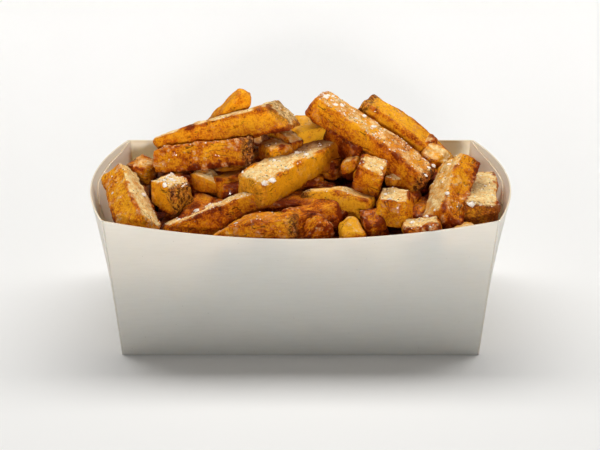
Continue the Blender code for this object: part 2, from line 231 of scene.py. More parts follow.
# The fries that show from the front. Each row: one end of the axis in mm, the other end in mm,
# width and height in mm, roll in degrees, how full the section is at each end, how far the middle
# arches up in mm, how long the rounded tips are in mm, and the style.
FRONT_FRIES = (
    ((-71, 20, 77), (-2, 9, 99.5), 14, 14, -10, 0.8, 1.12, 0.5, 4.5,
     Style(0.38, 1.1, 0.1, Skin.END, 0.3, husk=0.5, end_cut=(0.0, -0.7))),
    ((-62, 33, 60), (-25, 25, 105), 11, 11, 20, 1.1, 0.72, 0, 4.0, Style(0.35, 0.2, 0.1)),
    ((-70, 6, 76), (-21, 1, 83), 14, 13, -20, 0.9, 1.0, 0, 2.0,
     Style(0.55, 0.3, 1.0, Skin.END, 0.2, husk=0.9)),
    ((-19, -1, 80), (-4, 6, 82), 13, 12, 0, 0.95, 0.9, 0, 3.0, Style(0.45, 0.5, 1.0)),
    ((-44, 14, 84), (-35, 11, 84), 6, 5, 0, 0.8, 0.6, 0, 1.5, Style(0.3, 0.9, 0.3)),
    ((-88, 0, 72), (-72, -42, 58), 15, 15, 45, 0.85, 1.0, 0, 4.0,
     Style(0.4, 0.9, 0.9, yellow=0.5, lean=0.6)),
    ((-82, 12, 70), (-70, 4, 70), 12, 11, 10, 0.9, 1.0, 0, 3.0, Style(0.5, 0.5, 1.0)),
    ((-67, -11, 68), (-53, -25, 68), 14, 13, 0, 1.0, 1.0, 0, 2.0,
     Style(0.12, 0.9, 0.3, Skin.END, husk=0.7)),
    ((-52, -1, 72), (-37, -10, 68), 11, 9, 10, 0.75, 0.7, 0, 3.0, Style(0.3, 0.8, 0.2)),
    ((-42, -8, 65), (-8, 8, 72), 13, 14, -10, 1.0, 1.0, 0, 2.0, Style(0.35, 0.3, 0.4)),
    ((-25, -25, 71), (16, 17, 80), 19, 13, 0, 1.0, 0.95, 0, 2.6,
     Style(-0.15, 0.9, 0.3, Skin.START, husk=0.4)),
    ((6, 23, 101), (60, -13, 69.5), 17, 14, 0, 0.8, 1.05, 1.5, 3.0,
     Style(0.58, 0.45, 0.2, Skin.END, husk=0.8)),
    ((30, 33, 95), (70, 22, 67), 13, 13, 10, 1.0, 0.9, 1.5, 2.5,
     Style(0.25, 0.2, 0.2, Skin.START, 0.5)),
    ((59, 16, 76), (73, 10, 70), 12, 12, 20, 0.9, 0.8, 0, 3.0, Style(0.45, 0.6, 1.0)),
    ((76, -3, 79), (63, -41, 60), 17, 13, 40, 0.95, 1.0, 1.0, 2.5,
     Style(0.5, 0.6, 1.0, lean=-0.35, start_cut=(-0.4, 0.3))),
    ((82, -38, 64), (86, 6, 65), 16, 13, 5, 1.0, 0.95, 0, 2.0,
     Style(0.5, 1.1, 0.5, Skin.START, husk=0.5)),
    ((30, -24, 74), (34, -8, 80), 13, 14, 20, 1.0, 1.0, 0, 1.8, Style(0.45, 0.75, 0.4)),
    ((41, -40, 66), (45, -21, 66), 16, 13, 0, 1.0, 1.0, 0, 2.0, Style(0.4, 0.85, 0.4)),
    ((0, -19, 67), (34, -28, 63), 11, 15, -10, 0.5, 1.0, 0, 2.5,
     Style(0.1, 0.6, 0.1, Skin.START, 0.7, husk=0.8)),
    ((0, -40, 50), (12, -40, 64), 13, 13, 20, 1.0, 0.8, 0, 3.0, Style(0.85, 0.1, 0.8)),
    ((17, -46, 58), (28, -42, 59), 13, 14, 30, 0.7, 0.85, 0, 2.0,
     Style(0.25, 0.5, 0.3, yellow=0.5)),
    ((28, -36, 58), (40, -34, 60), 12, 14, 20, 1.0, 1.0, 0, 2.0, Style(0.8, 0.1)),
    ((-43, -44, 54), (1, -44, 60), 16, 21, -8, 0.3, 0.75, 0, 3.0,
     Style(0.5, 0.25, 0.6, Skin.END, 0.3)),
    ((-64, -40, 53), (-16, -21, 63), 12, 18, -12, 0.9, 0.95, 0, 2.5, Style(0.6, 0.7, 0.15)),
    ((-8, -32, 64), (0, -38, 60), 10, 9, 0, 1.0, 0.9, 0, 2.5, Style(0.7, 0.2, 0.8)),
    ((46, -44, 58), (66, -47, 61), 13, 12, 0, 1.0, 1.0, 0, 2.5, Style(0.35, 0.8, 0.8)),
    ((66, -45, 58), (80, -46, 62), 10, 8, 0, 1.0, 0.8, 0, 2.5, Style(0.5, 0.5, 0.6)),
    ((-4, 29, 86), (7, 11, 83), 18, 12, 0, 1.0, 1.0, 0, 2.0, Style(-0.2, 0.3, 0.0, yellow=1.0)),
    ((-14, 20, 85), (-2, 6, 80), 9, 13, 0, 1.0, 1.0, 0, 2.0, Style(0.35, 0.8, yellow=0.6)),
    ((14, 19, 87.5), (31, 0, 80), 13, 12, 0, 1.0, 1.0, 0, 2.0, Style(0.75, 0.2)),
    ((20, -4, 76), (28, -6, 80), 8, 6, 0, 1.0, 0.8, 0, 1.5, Style(0.4, 0.6)),
    ((41, -16, 73), (48, -10, 73), 6, 5, 20, 0.9, 0.7, 0, 1.2, Style(0.4, 0.8)),
    ((51, -32, 58), (60, -16, 62), 11, 11, 0, 1.0, 1.0, 0, 2.0, Style(0.7, 0.2)),
)

# The first LEFT_HALF of them make one piece, and the others another
LEFT_HALF = 12

# Salt lies on these fries: number in the list above and how thickly. The first FLAKES of the salt
# grains are large. A place with more than OPEN_ABOVE mm of fries over it gets none.
SALTED = {0: 0.12, 2: 0.25, 3: 0.3, 5: 0.3, 7: 0.9, 8: 0.3, 10: 1.0, 11: 1.0, 14: 0.45, 15: 0.7,
          16: 0.9, 17: 1.0, 18: 0.4, 22: 0.4, 23: 0.6, 25: 0.7, 31: 0.5}
SALT_GRAINS = 520
FLAKES = 44
PEPPER_GRAINS = 380
OPEN_ABOVE = 2.5

# Their radii in mm, and how strongly the grains gather in patches
SALT_SIZES = (0.18, 0.5)
FLAKE_SIZES = (0.75, 1.6)
PEPPER_SIZES = (0.13, 0.38)
SALT_BUNCHING = 2.2
PEPPER_BUNCHING = 0.8


def link(name: str, data: bpy.types.ID) -> bpy.types.Object:
    """A new object in the scene.

    Args:
        name: its name.
        data: its mesh, light or camera.

    Returns:
        The object, at the origin.
    """
    made = bpy.data.objects.new(name, data)
    bpy.context.scene.collection.objects.link(made)
    return made


def neighbours(grid: Array, reach: int) -> Array:
    """Copies of a grid, moved by every number of cells up to a reach along both axes.

    Args:
        grid: the cells, shape (n, m).
        reach: the furthest move in cells.

    Returns:
        The copies, shape (moves, n, m).
    """
    steps = range(-reach, reach + 1)
    return np.stack([np.roll(grid, (i, j), (0, 1)) for i in steps for j in steps])


def smoothstep(low: float, high: float, value: Array) -> Array:
    """Ease from 0 at low to 1 at high: 3t^2 - 2t^3 of the clamped share between them.

    Args:
        low: where the result is 0.
        high: where it is 1.
        value: the numbers to ease.

    Returns:
        An array of numbers from 0 to 1.
    """
    share = np.clip((value - low) / (high - low), 0.0, 1.0)
    return share * share * (3.0 - 2.0 * share)


@dataclass(frozen=True)
class Lattice:
    """Seeded noise on an integer lattice, worked out for whole arrays of points."""

    seed: int

    def corner(self, cell: Array, channel: int = 0) -> Array:
        """A number from 0 to 1 for each lattice corner: its integers mixed by multiply and shift.

        Args:
            cell: integer corners, any shape ending in 3.
            channel: which of several unrelated numbers to give.

        Returns:
            An array shaped like cell without its last axis.
        """
        i, j, k = (cell[..., axis].astype(np.int64) for axis in range(3))
        mixed = (i * 374761393 + j * 668265263 + k * 362437 + (self.seed + 77 * channel) * 974711)
        mixed = mixed & 0xFFFFFFFF
        mixed = ((mixed ^ (mixed >> 13)) * 1274126177) & 0xFFFFFFFF
        return (mixed ^ (mixed >> 16)) / 4294967295.0

    def smooth(self, points: Array, size: float) -> Array:
        """Lattice numbers blended between the eight corners round each point, from -1 to 1.

        Args:
            points: places, shape (..., 3).
            size: edge of a lattice cell in the same unit.

        Returns:
            An array shaped like points without its last axis.
        """
        scaled = points / size
        cell = np.floor(scaled).astype(np.int64)
        part = scaled - cell
        ease = part * part * (3.0 - 2.0 * part)
        total = np.zeros(points.shape[:-1])
        for corner in np.ndindex(2, 2, 2):
            step = np.array(corner)
            weight = np.prod(np.where(step == 1, ease, 1.0 - ease), axis=-1)
            total += weight * self.corner(cell + step)
        return 2.0 * total - 1.0

    def layered(self, points: Array, size: float, octaves: int = 3) -> Array:
        """Sum of smooth noise at halving sizes and halving heights, from about -1 to 1.

        Args:
            points: places, shape (..., 3).
            size: the coarsest cell's edge.
            octaves: how many layers.

        Returns:
            An array shaped like points without its last axis.
        """
        total, height = np.zeros(points.shape[:-1]), 1.0
        for octave in range(octaves):
            total += height * self.smooth(points + 31.7 * octave * size, size / 2 ** octave)
            height *= 0.5
        return total / 1.6

    def nearest(self, points: Array, size: float) -> tuple[Array, Array]:
        """Distance to the nearest of the points jittered one to a lattice cell, and its number.

        Args:
            points: places, shape (..., 3).
            size: edge of a cell.

        Returns:
            Distance in cells, and the nearest point's own number from 0 to 1.
        """
        scaled = points / size
        cell = np.floor(scaled).astype(np.int64)
        best = np.full(points.shape[:-1], 9.0)
        number = np.zeros(points.shape[:-1])
        for step in np.ndindex(3, 3, 3):
            near = cell + np.array(step) - 1
            spot = np.stack([self.corner(near, channel) for channel in (1, 2, 3)], axis=-1)
            gap = np.linalg.norm(near + spot - scaled, axis=-1)
            closer = gap < best
            best = np.where(closer, gap, best)
            number = np.where(closer, self.corner(near, 4), number)
        return best, number


@dataclass
class Surface:
    """A closed surface as points, faces and one value for each point under each name."""

    points: Array
    quads: Array
    triangles: Array
    values: dict[str, Array] = field(default_factory=dict)
    uv: Array | None = None

    def joined(self, others: Sequence["Surface"]) -> "Surface":
        """This surface and others as one, each face list moved on past the points before it.

        Args:
            others: surfaces with the same value names.

        Returns:
            One surface.
        """
        parts = [self, *others]
        starts = np.cumsum([0] + [len(part.points) for part in parts[:-1]])
        return Surface(
            np.concatenate([part.points for part in parts]),
            np.concatenate([part.quads + start for part, start in zip(parts, starts)]),
            np.concatenate([part.triangles + start for part, start in zip(parts, starts)]),
            {name: np.concatenate([part.values[name] for part in parts]) for name in self.values},
            None if self.uv is None else np.concatenate([part.uv for part in parts]),
        )

    def as_object(self, name: str, finish: bpy.types.Material,
                  crease: float | None = None) -> bpy.types.Object:
        """A mesh object at the origin made of this surface, shaded smooth.

        Args:
            name: the piece's name.
            finish: its material.
            crease: angle in degrees above which an edge stays sharp, or None for no sharp edge.

        Returns:
            The object, linked to the scene.
        """
        groups = [faces for faces in (self.quads, self.triangles) if len(faces)]
        corners = np.concatenate([faces.ravel() for faces in groups])
        sizes = np.concatenate([np.full(len(faces), faces.shape[1]) for faces in groups])
        mesh = bpy.data.meshes.new(name)
        mesh.vertices.add(len(self.points))
        mesh.vertices.foreach_set("co", self.points.astype(np.float32).ravel())
        mesh.loops.add(len(corners))
        mesh.loops.foreach_set("vertex_index", corners.astype(np.int32))
        mesh.polygons.add(len(sizes))
        starts = np.concatenate([[0], np.cumsum(sizes)[:-1]])
        mesh.polygons.foreach_set("loop_start", starts.astype(np.int32))
        mesh.update(calc_edges=True)
        mesh.validate()
        mesh.shade_smooth()
        if crease is not None:
            mesh.set_sharp_from_angle(angle=math.radians(crease))
        for title, numbers in self.values.items():
            attribute = mesh.attributes.new(title, "FLOAT", "POINT")
            attribute.data.foreach_set("value", numbers.astype(np.float32))
        if self.uv is not None:
            layer = mesh.uv_layers.new(name="UVMap")
            layer.data.foreach_set("uv", self.uv[corners].astype(np.float32).ravel())
        mesh.materials.append(finish)
        return link(name, mesh)


def tube_faces(rings: int, around: int) -> tuple[Array, Array]:
    """Faces of a closed tube: quads between neighbouring rings, and a fan to a point at each end.

    The points are the rings one after another, then the first end's point and the last end's.

    Args:
        rings: how many rings.
        around: points on each.

    Returns:
        Quads of shape (n, 4) and triangles of shape (m, 3).
    """
    ring, spot = np.meshgrid(np.arange(rings - 1), np.arange(around), indexing="ij")
    after = (spot + 1) % around
    quads = np.stack([ring * around + spot, ring * around + after,
                      (ring + 1) * around + after, (ring + 1) * around + spot], axis=-1)
    spot = np.arange(around)
    after = (spot + 1) % around
    first, last = rings * around, rings * around + 1
    low = np.stack([after, spot, np.full(around, first)], axis=-1)
    base = (rings - 1) * around
    high = np.stack([base + spot, base + after, np.full(around, last)], axis=-1)
    return quads.reshape(-1, 4), np.concatenate([low, high])


def rounded_box(around: int, half_width: float, half_height: float, radius: float) -> Array:
    """Points evenly spaced round a box with rounded corners.

    Each point is found by its length along the outline: straight sides, then quarter circles.

    Args:
        around: how many points.
        half_width: half the box's width.
        half_height: half its height.
        radius: the corners' radius.

    Returns:
        Points of shape (around, 2), anticlockwise from the lower left corner's end.
    """
    radius = min(radius, 0.8 * half_width, 0.8 * half_height)
    wide, high, arc = 2 * (half_width - radius), 2 * (half_height - radius), math.pi / 2 * radius
    length = np.arange(around) / around * (2 * (wide + high) + 4 * arc)
    result = np.zeros((around, 2))
    start = 0.0
    sides = ((wide, (1, 0), (1, -1)), (high, (0, 1), (1, 1)),
             (wide, (-1, 0), (-1, 1)), (high, (0, -1), (-1, -1)))
    for side, ahead, corner in sides:
        ahead, centre = np.array(ahead), np.array(corner) * (half_width - radius, half_height - radius)
        out = np.array((ahead[1], -ahead[0]))
        on_side = (length >= start) & (length < start + side)
        result[on_side] = (centre - ahead * side + out * radius
                           + np.outer(length[on_side] - start, ahead))
        start += side
        on_arc = (length >= start) & (length < start + arc)
        turn = (length[on_arc] - start) / radius
        result[on_arc] = (centre + radius * np.outer(np.cos(turn), out)
                          + radius * np.outer(np.sin(turn), ahead))
        start += arc
    return result


def grid_normals(points: Array, rings: int, around: int) -> Array:
    """Outward unit normals of a tube's points from the differences to their neighbours.

    Args:
        points: the rings' points, shape (rings * around, 3).
        rings: how many rings.
        around: points on each.

    Returns:
        Unit vectors, shape (rings * around, 3).
    """
    grid = points.reshape(rings, around, 3)
    along = np.gradient(grid, axis=0)
    round_it = np.roll(grid, -1, axis=1) - np.roll(grid, 1, axis=1)
    normal = np.cross(round_it, along)
    normal /= np.maximum(np.linalg.norm(normal, axis=-1, keepdims=True), NO_LENGTH)
    return normal.reshape(-1, 3)


def wall_half_length(y: Array, z: Array) -> Array:
    """Inside half length of the carton: base and flare, plus a bow that fades to the corners.

    Args:
        y: place across.
        z: height.

    Returns:
        Half length at each place, flaps included.
    """
    t = z / CORNER_HEIGHT
    edge = BASE_WIDTH / 2 + FLARE * t
    bow = END_BULGE * t * np.maximum(1 - (y / edge) ** 2, 0)
    return BASE_LENGTH / 2 + FLARE * t + bow - BOARD


def wall_half_width(z: Array) -> Array:
    """Inside half width of the carton at a height: base and flare, less the board.

    Args:
        z: height.

    Returns:
        Half width at each height.
    """
    return BASE_WIDTH / 2 + FLARE * z / CORNER_HEIGHT - BOARD


def keep_inside(points: Array) -> Array:
    """Press points that would pass through a wall or the floor back to a small gap inside it.

    Args:
        points: places, shape (n, 3).

    Returns:
        The places, inside the carton.
    """
    points = np.array(points, dtype=float)
    points[:, 2] = np.maximum(points[:, 2], BOARD + FLOOR_GAP)
    width = wall_half_width(points[:, 2]) - WALL_GAP
    points[:, 1] = np.clip(points[:, 1], -width, width)
    length = wall_half_length(points[:, 1], points[:, 2]) - WALL_GAP
    points[:, 0] = np.clip(points[:, 0], -length, length)
    return points


def heap_top(x: Array, y: Array) -> Array:
    """Height of the heap's outline: a swell over an edge, lower in front.

    Args:
        x: place along, mm.
        y: place across, mm.

    Returns:
        Heights in mm.
    """
    across = np.clip((y - HEAP_CREST) / HEAP_REACH[1], -1, 1)
    ahead = np.clip((FRONT_EDGE - y) / FRONT_EDGE, 0, 1)
    swell = (1 - abs(x / HEAP_REACH[0]) ** 3) * (1 - across ** 2) ** 0.8
    return HEAP_EDGE + HEAP_RISE * swell - HEAP_FRONT * ahead


def core_top(x: Array, y: Array) -> Array:
    """Height of the core's rounded top: a dome over a shoulder.

    Args:
        x: place along, mm.
        y: place across, mm.

    Returns:
        Heights in mm.
    """
    reach = (abs(x) / CORE_REACH[0]) ** 3 + (abs(y) / CORE_REACH[1]) ** 3
    return CORE_SHOULDER + CORE_DOME * np.sqrt(np.clip(1 - reach, 0, 1))


class Ground:
    """Height in mm of what lies in the carton so far, on a grid of places."""

    def __init__(self) -> None:
        """Start with the core's rounded top."""
        places = [np.arange(-half, half + 1, GRID) for half in GROUND_HALF]
        self.x, self.y = np.meshgrid(*places, indexing="ij")
        self.height = core_top(self.x, self.y)

    def at(self, x: Array, y: Array) -> Array:
        """Heights of the cells nearest to places.

        Args:
            x: places along, mm.
            y: places across, mm.

        Returns:
            An array shaped like x.
        """
        i = np.rint((x + GROUND_HALF[0]) / GRID).astype(int)
        j = np.rint((y + GROUND_HALF[1]) / GRID).astype(int)
        return self.height[i, j]

    def under(self, x: float, y: float, turn: float, length: float,
              width: float) -> tuple[Array, Array]:
        """The cells that a lying fry covers.

        Args:
            x: its middle's place along, mm.
            y: its middle's place across, mm.
            turn: its direction in radians.
            length: how long it is in plan.
            width: how wide it is.

        Returns:
            How far along the fry each cell lies, and whether it is covered.
        """
        along = (self.x - x) * math.cos(turn) + (self.y - y) * math.sin(turn)
        across = (self.y - y) * math.cos(turn) - (self.x - x) * math.sin(turn)
        return along, (abs(along) <= length / 2) & (abs(across) <= width / 2)

    def raise_to(self, covered: Array, top: Array) -> None:
        """Lift covered cells to a fry's top, where they are lower.

        Args:
            covered: which cells.
            top: the fry's top over each.
        """
        self.height = np.where(covered, np.maximum(self.height, top), self.height)


@dataclass(frozen=True)
class Lie:
    """How a settled fry lies, in mm: its middle, its direction, its lowest height and its slope."""

    x: float
    y: float
    turn: float
    level: float
    slope: float


class Settling:
    """The rest of the heap: fries laid one by one on what lies below, largest first, seeded."""

    @staticmethod
    def resting_line(along: Array, heights: Array) -> tuple[float, float]:
        """The line that rests on the heights from both sides: the highest of all lines through two.

        Args:
            along: places on the fry's axis, mm, from negative to positive.
            heights: what lies below each.

        Returns:
            Height at the middle, and slope.
        """
        left, right = along < 0, along > 0
        s_left, h_left = along[left][:, None], heights[left][:, None]
        s_right, h_right = along[right][None, :], heights[right][None, :]
        middle = (h_left * s_right - h_right * s_left) / (s_right - s_left)
        slope = (h_right - h_left) / (s_right - s_left)
        i, j = np.unravel_index(np.argmax(middle), middle.shape)
        return middle[i, j], slope[i, j]

    def best_lie(self, ground: Ground, draw: np.random.Generator, length: float, width: float,
                 height: float) -> Lie | None:
        """Of several seeded lies on the ground, the one with the most room left over it.

        Args:
            ground: what lies there already.
            draw: random numbers.
            length: the fry's length, mm.
            width: its width.
            height: its height.

        Returns:
            The lie, or None when the fry fits nowhere.
        """
        share = np.linspace(-1, 1, 14)
        along, across = np.meshgrid(share * length / 2, np.linspace(-1, 1, 5) * width / 2,
                                    indexing="ij")
        ends = length / 2 * np.array((-1, 1))
        best, best_room = None, 0.0
        for _ in range(FILL_TRIES):
            x, y = draw.uniform(*MIDDLE_ALONG), draw.uniform(*MIDDLE_ACROSS)
            turn = draw.uniform(0, math.pi)
            cos, sin = math.cos(turn), math.sin(turn)
            place_x = x + along * cos - across * sin
            place_y = y + along * sin + across * cos
            if abs(place_x).max() > HEAP_REACH[0] or abs(place_y).max() > HEAP_REACH[1]:
                continue
            heights = ground.at(place_x, place_y).max(axis=1)
            level, slope = self.resting_line(share * length / 2, heights)
            room = heap_top(x, y) - level - height
            spare = heap_top(x + ends * cos, y + ends * sin) - (level + slope * ends + height)
            if abs(slope) < STEEPEST and spare.min() > -STAND_OUT and room > best_room:
                best, best_room = Lie(x, y, turn, level - FILL_SINK, slope), room
        return best

    def rows(self) -> list[Row]:
        """The settled fries as rows like the front ones, without a style.

        Returns:
            Start, end, width, height, roll, both fullnesses, arch and tip for each.
        """
        draw = np.random.default_rng(SEED)
        ground = Ground()
        rows = []
        for number in range(FILL_FRIES):
            length = FILL_LENGTH - FILL_SHORTER * number / FILL_FRIES + draw.uniform(-4, 4)
            width, height = draw.uniform(*FILL_WIDTHS), draw.uniform(*FILL_HEIGHTS)
            lie = self.best_lie(ground, draw, length, width, height)
            if lie is None:
                continue
            flat = length / 2 / math.hypot(1, lie.slope)
            lift = height / 2 * math.hypot(1, lie.slope)
            cos, sin = math.cos(lie.turn), math.sin(lie.turn)
            start, end = ((lie.x + way * cos, lie.y + way * sin, lie.level + lie.slope * way + lift)
                          for way in (-flat, flat))
            arch = 0.02 * length * math.sin(1.7 * number)
            roll = draw.uniform(-12, 12)
            rows.append((start, end, width, height, roll, FILL_FULL, FILL_FULL, arch, FILL_TIP))
            along, covered = ground.under(lie.x, lie.y, lie.turn, 2 * flat, width)
            ground.raise_to(covered, lie.level + lie.slope * along + 2 * lift)
        return rows + self.short_rows(draw, ground)

    @staticmethod
    def short_rows(draw: np.random.Generator, ground: Ground) -> list[Row]:
        """Short fries, each dropped into the deepest gap left, turned to lie as low as it can.

        Args:
            draw: random numbers.
            ground: what lies there already.

        Returns:
            Rows like those of rows().
        """
        reachable = (abs(ground.x) < SHORT_REACH[0]) & (abs(ground.y) < SHORT_REACH[1])
        rows = []
        for _ in range(SHORT_FRIES):
            room = np.where(reachable, heap_top(ground.x, ground.y) - ground.height, NO_ROOM)
            room = neighbours(room, 2).mean(axis=0)
            if room.max() < SHORT_ROOM:
                break
            spot = np.unravel_index(np.argmax(room), room.shape)
            x, y = ground.x[spot], ground.y[spot]
            length, width, height = (draw.uniform(*sizes)
                                     for sizes in (SHORT_LENGTHS, SHORT_WIDTHS, SHORT_HEIGHTS))
            first, options = draw.uniform(0, math.pi), []
            for turn in first + np.arange(SHORT_TURNS) * math.pi / SHORT_TURNS:
                along, covered = ground.under(x, y, turn, length, width)
                options.append((float(ground.height[covered].mean()), turn, along, covered))
            level, turn, along, covered = min(options, key=lambda option: option[0])
            slope = draw.uniform(*SHORT_SLOPES)
            middle = np.array((x, y, level + height / 2 - FILL_SINK))
            reach = np.array((math.cos(turn), math.sin(turn), slope)) * length / 2
            rows.append((tuple(middle - reach), tuple(middle + reach), width, height, 0,
                         FILL_FULL, 0.9, 0, FILL_TIP))
            ground.raise_to(covered, middle[2] + slope * along + height / 2)
        return rows


@dataclass(frozen=True)
class Grain:
    """Noise over one fry, a value for each point: swells, bumps, fine grain, blisters, pimples."""

    own: Array
    broad: Array
    mid: Array
    fine: Array
    dome: Array
    pimple: Array

    @classmethod
    def over(cls, local: Array, number: int, blister: float) -> "Grain":
        """Noise at a fry's own places, moved on by its number so that no two fries are alike.

        Blisters and pimples are domes on scattered points, and fewer blisters come up on a fry
        that is hardly blistered.

        Args:
            local: across, up and along places in mm.
            number: the fry's number.
            blister: how blistered it is.

        Returns:
            The grain.
        """
        own = local + number * np.array(OWN_STEP)
        noise = Lattice(SHAPE_NOISE)
        gap, chance = noise.nearest(own, 5.0)
        small_gap, _ = Lattice(PIMPLE_NOISE).nearest(own, 2.2)
        return cls(own, noise.layered(own, 13.0, 2), noise.smooth(own, 4.5), noise.smooth(own, 1.8),
                   smoothstep(0.55, 0.1, gap) * (chance < 0.25 + 0.5 * blister),
                   smoothstep(0.6, 0.15, small_gap))

    def skin_noise(self) -> Array:
        """Noise that makes the skin's edge ragged."""
        return Lattice(SHAPE_NOISE).smooth(self.own, 6.0)

    def ridge(self) -> Array:
        """Wrinkles of the skin: 1 on a ridge, shorter along the fry than across it."""
        return 1 - abs(Lattice(SHAPE_NOISE).smooth(self.own * (1, 1, 1.6), 3.2))

    def mottle(self) -> Array:
        """Uneven browning, read far away from the noise that shapes the surface."""
        return Lattice(SHAPE_NOISE).layered(self.own + 400, 8.0, 3)


@dataclass(frozen=True)
class Fry:
    """One fry as the CAD has it, with the finer shape of its faces, edges and ends. Sizes in mm."""

    number: int
    start: Place
    end: Place
    width: float
    height: float
    roll: float
    full_start: float
    full_end: float
    arch: float
    tip: float
    style: Style
    around: int = 80
    spacing: float = 0.9

    @property
    def half(self) -> Array:
        """Half the width and half the height."""
        return np.array((self.width / 2, self.height / 2))

    def axes(self) -> tuple[Array, Array, Array]:
        """Unit vectors along the fry, across it and up through it, turned by its roll.

        Returns:
            The three vectors.
        """
        along = np.subtract(self.end, self.start).astype(float)
        along /= np.linalg.norm(along)
        across = np.cross((0.0, 0.0, 1.0), along)
        if np.linalg.norm(across) < 0.05:
            across = np.array((1.0, 0.0, 0.0))
        across /= np.linalg.norm(across)
        up = np.cross(along, across)
        turn = math.radians(self.roll)
        return (along, across * math.cos(turn) + up * math.sin(turn),
                up * math.cos(turn) - across * math.sin(turn))

    def ring_table(self, length: float) -> tuple[Array, Array, Array]:
        """The rings from one end to the other: across the end face, round its edge, then the body.

        Args:
            length: the fry's length.

        Returns:
            For each ring its distance from the start, its inset from the full section, and the
            share of the end face's size for rings that lie on it (1 elsewhere).
        """
        turn = np.linspace(0, math.pi / 2, ROUND_RINGS + 1)
        face = np.arange(1, FACE_RINGS) / FACE_RINGS
        body_rings = int(np.clip(round(length / self.spacing), 8, 80))
        body = np.linspace(self.tip, length - self.tip, body_rings)[1:-1]
        depth = min(self.tip, 0.3 * min(self.width, self.height))
        away = self.tip * (1 - np.cos(turn))
        inset = depth * (1 - np.sin(turn))
        zero = np.zeros(FACE_RINGS - 1)
        distance = np.concatenate([zero, away, body, length - away[::-1], zero + length])
        insets = np.concatenate([zero + depth, inset, 0 * body, inset[::-1], zero + depth])
        faces = np.concatenate([face, 0 * away + 1, 0 * body + 1, 0 * away + 1, face[::-1]])
        return distance, insets, faces

    def surface(self) -> Surface:
        """The fry's closed surface with its values.

        Returns:
            Points in metres, with pale, brown, blister, crust, skin and yellow values.
        """
        length = float(np.linalg.norm(np.subtract(self.end, self.start)))
        along, across, up = self.axes()
        distance, inset, face = self.ring_table(length)
        rings, around = len(distance), self.around
        share = distance / length
        full = (1 - (1 - self.full_start) * np.maximum(1 - 2 * share, 0)
                - (1 - self.full_end) * np.maximum(2 * share - 1, 0))
        full *= 1 + 0.04 * np.sin(5.1 * share + 2.4 * self.number)
        section = rounded_box(around, self.width / 2, self.height / 2, EDGE_RADIUS)
        shrink = 1 - inset[:, None] / (full[:, None] * self.half)
        flat = section[None] * (full[:, None] * shrink * face[:, None])[:, None, :]
        flat = self.uneven(flat, share)
        bend = self.arch * (1 - (2 * share - 1) ** 2)
        tilt = self.cut_ends(flat, distance, length)
        middle = np.array(self.start) + np.outer(distance, along) + np.outer(bend, up)
        points = (middle[:, None] + flat[..., :1] * across + flat[..., 1:] * up
                  + tilt[..., None] * along)
        local = np.concatenate([flat, np.broadcast_to(distance[:, None, None],
                                                      (rings, around, 1))], axis=-1)
        return self.weathered(points.reshape(-1, 3), local.reshape(-1, 3), length, rings,
                              np.repeat(face < 1, around))

    def cut_ends(self, flat: Array, distance: Array, length: float) -> Array:
        """Slanting end cuts: each end is sheared along the axis, so that one corner stays out.

        The move is the section's place times the slopes, less its highest value, and fades with
        distance from the end. Each fry has small slopes of its own besides those of its style.

        Args:
            flat: across and up places of each ring's points, shape (rings, around, 2).
            distance: each ring's distance from the start.
            length: the fry's length.

        Returns:
            How far each point moves towards the end, shape (rings, around).
        """
        own = OWN_CUT * np.sin(np.array((3.1, 5.3, 7.7, 9.1)) * (self.number + 1))
        first, last = own[:2] + self.style.start_cut, own[2:] + self.style.end_cut
        reach = min(CUT_REACH, 0.45 * length)
        near_start = np.clip(1 - distance / reach, 0, 1)[:, None]
        near_end = np.clip(1 - (length - distance) / reach, 0, 1)[:, None]
        return (near_start * (flat @ first + PULL_BACK * abs(first) @ self.half)
                + near_end * (flat @ last - PULL_BACK * abs(last) @ self.half))

    def uneven(self, flat: Array, share: Array) -> Array:
        """Knife-cut unevenness: width and height that waver, one face wider, and a slight twist.

        The width grows or shrinks with the height above the axis, by a sine of the fry's number;
        then both sizes waver by a sine of the share, and the section turns from end to end.

        Args:
            flat: across and up places of each ring's points, shape (rings, around, 2).
            share: each ring's share of the length.

        Returns:
            The places, changed.
        """
        across, up = flat[..., 0], flat[..., 1]
        wider = WIDER_FACE * math.sin(4.3 * self.number + 1)
        across = across * (1 + wider * up / (self.height / 2))
        across = across * (1 + WAVER * np.sin(9 * share + 1.3 * self.number))[:, None]
        up = up * (1 + WAVER * np.sin(7 * share + 3.1 * self.number))[:, None]
        turn = (math.radians(TWIST * math.sin(2.9 * self.number)) * (2 * share - 1))[:, None]
        return np.stack([across * np.cos(turn) - up * np.sin(turn),
                         across * np.sin(turn) + up * np.cos(turn)], axis=-1)

    def weathered(self, points: Array, local: Array, length: float, rings: int,
                  on_face: Array) -> Surface:
        """Uneven faces, blisters, wrinkled skin and the frying marks on a plain fry, with pale tops
        that are partly painted light from above.

        Args:
            points: the plain surface in mm.
            local: across, up and along places of the same points in mm.
            length: the fry's length.
            rings: how many rings.
            on_face: whether a point lies on an end face.

        Returns:
            The finished surface.
        """
        around = self.around
        normal = grid_normals(points, rings, around)
        grain = Grain.over(local, self.number, self.style.blister)
        skin = self.skin_share(local, length, grain.skin_noise())
        moved = points + normal * self.relief(grain, skin)[:, None]
        tip = moved.reshape(rings, around, 3)[[0, -1]].mean(axis=1)
        uneven = grid_normals(moved, rings, around)
        # How far a point turns up to the lamp, tipped sideways by the style's lean; it places the
        # painted light on the pale tops.
        facing_light = 0.75 * normal[:, 2] + 0.25 * uneven[:, 2] + self.style.lean * normal[:, 0]
        values = {name: np.concatenate([numbers, numbers[[0, -1]]])
                  for name, numbers in self.marks(grain, local, length, facing_light, on_face).items()}
        values["skin"] = np.concatenate([skin, skin[[0, -1]]]) * self.style.husk
        quads, triangles = tube_faces(rings, around)
        everything = keep_inside(np.concatenate([moved, tip]) * MM)
        return Surface(everything, quads, triangles, values, self.unrolled(local))

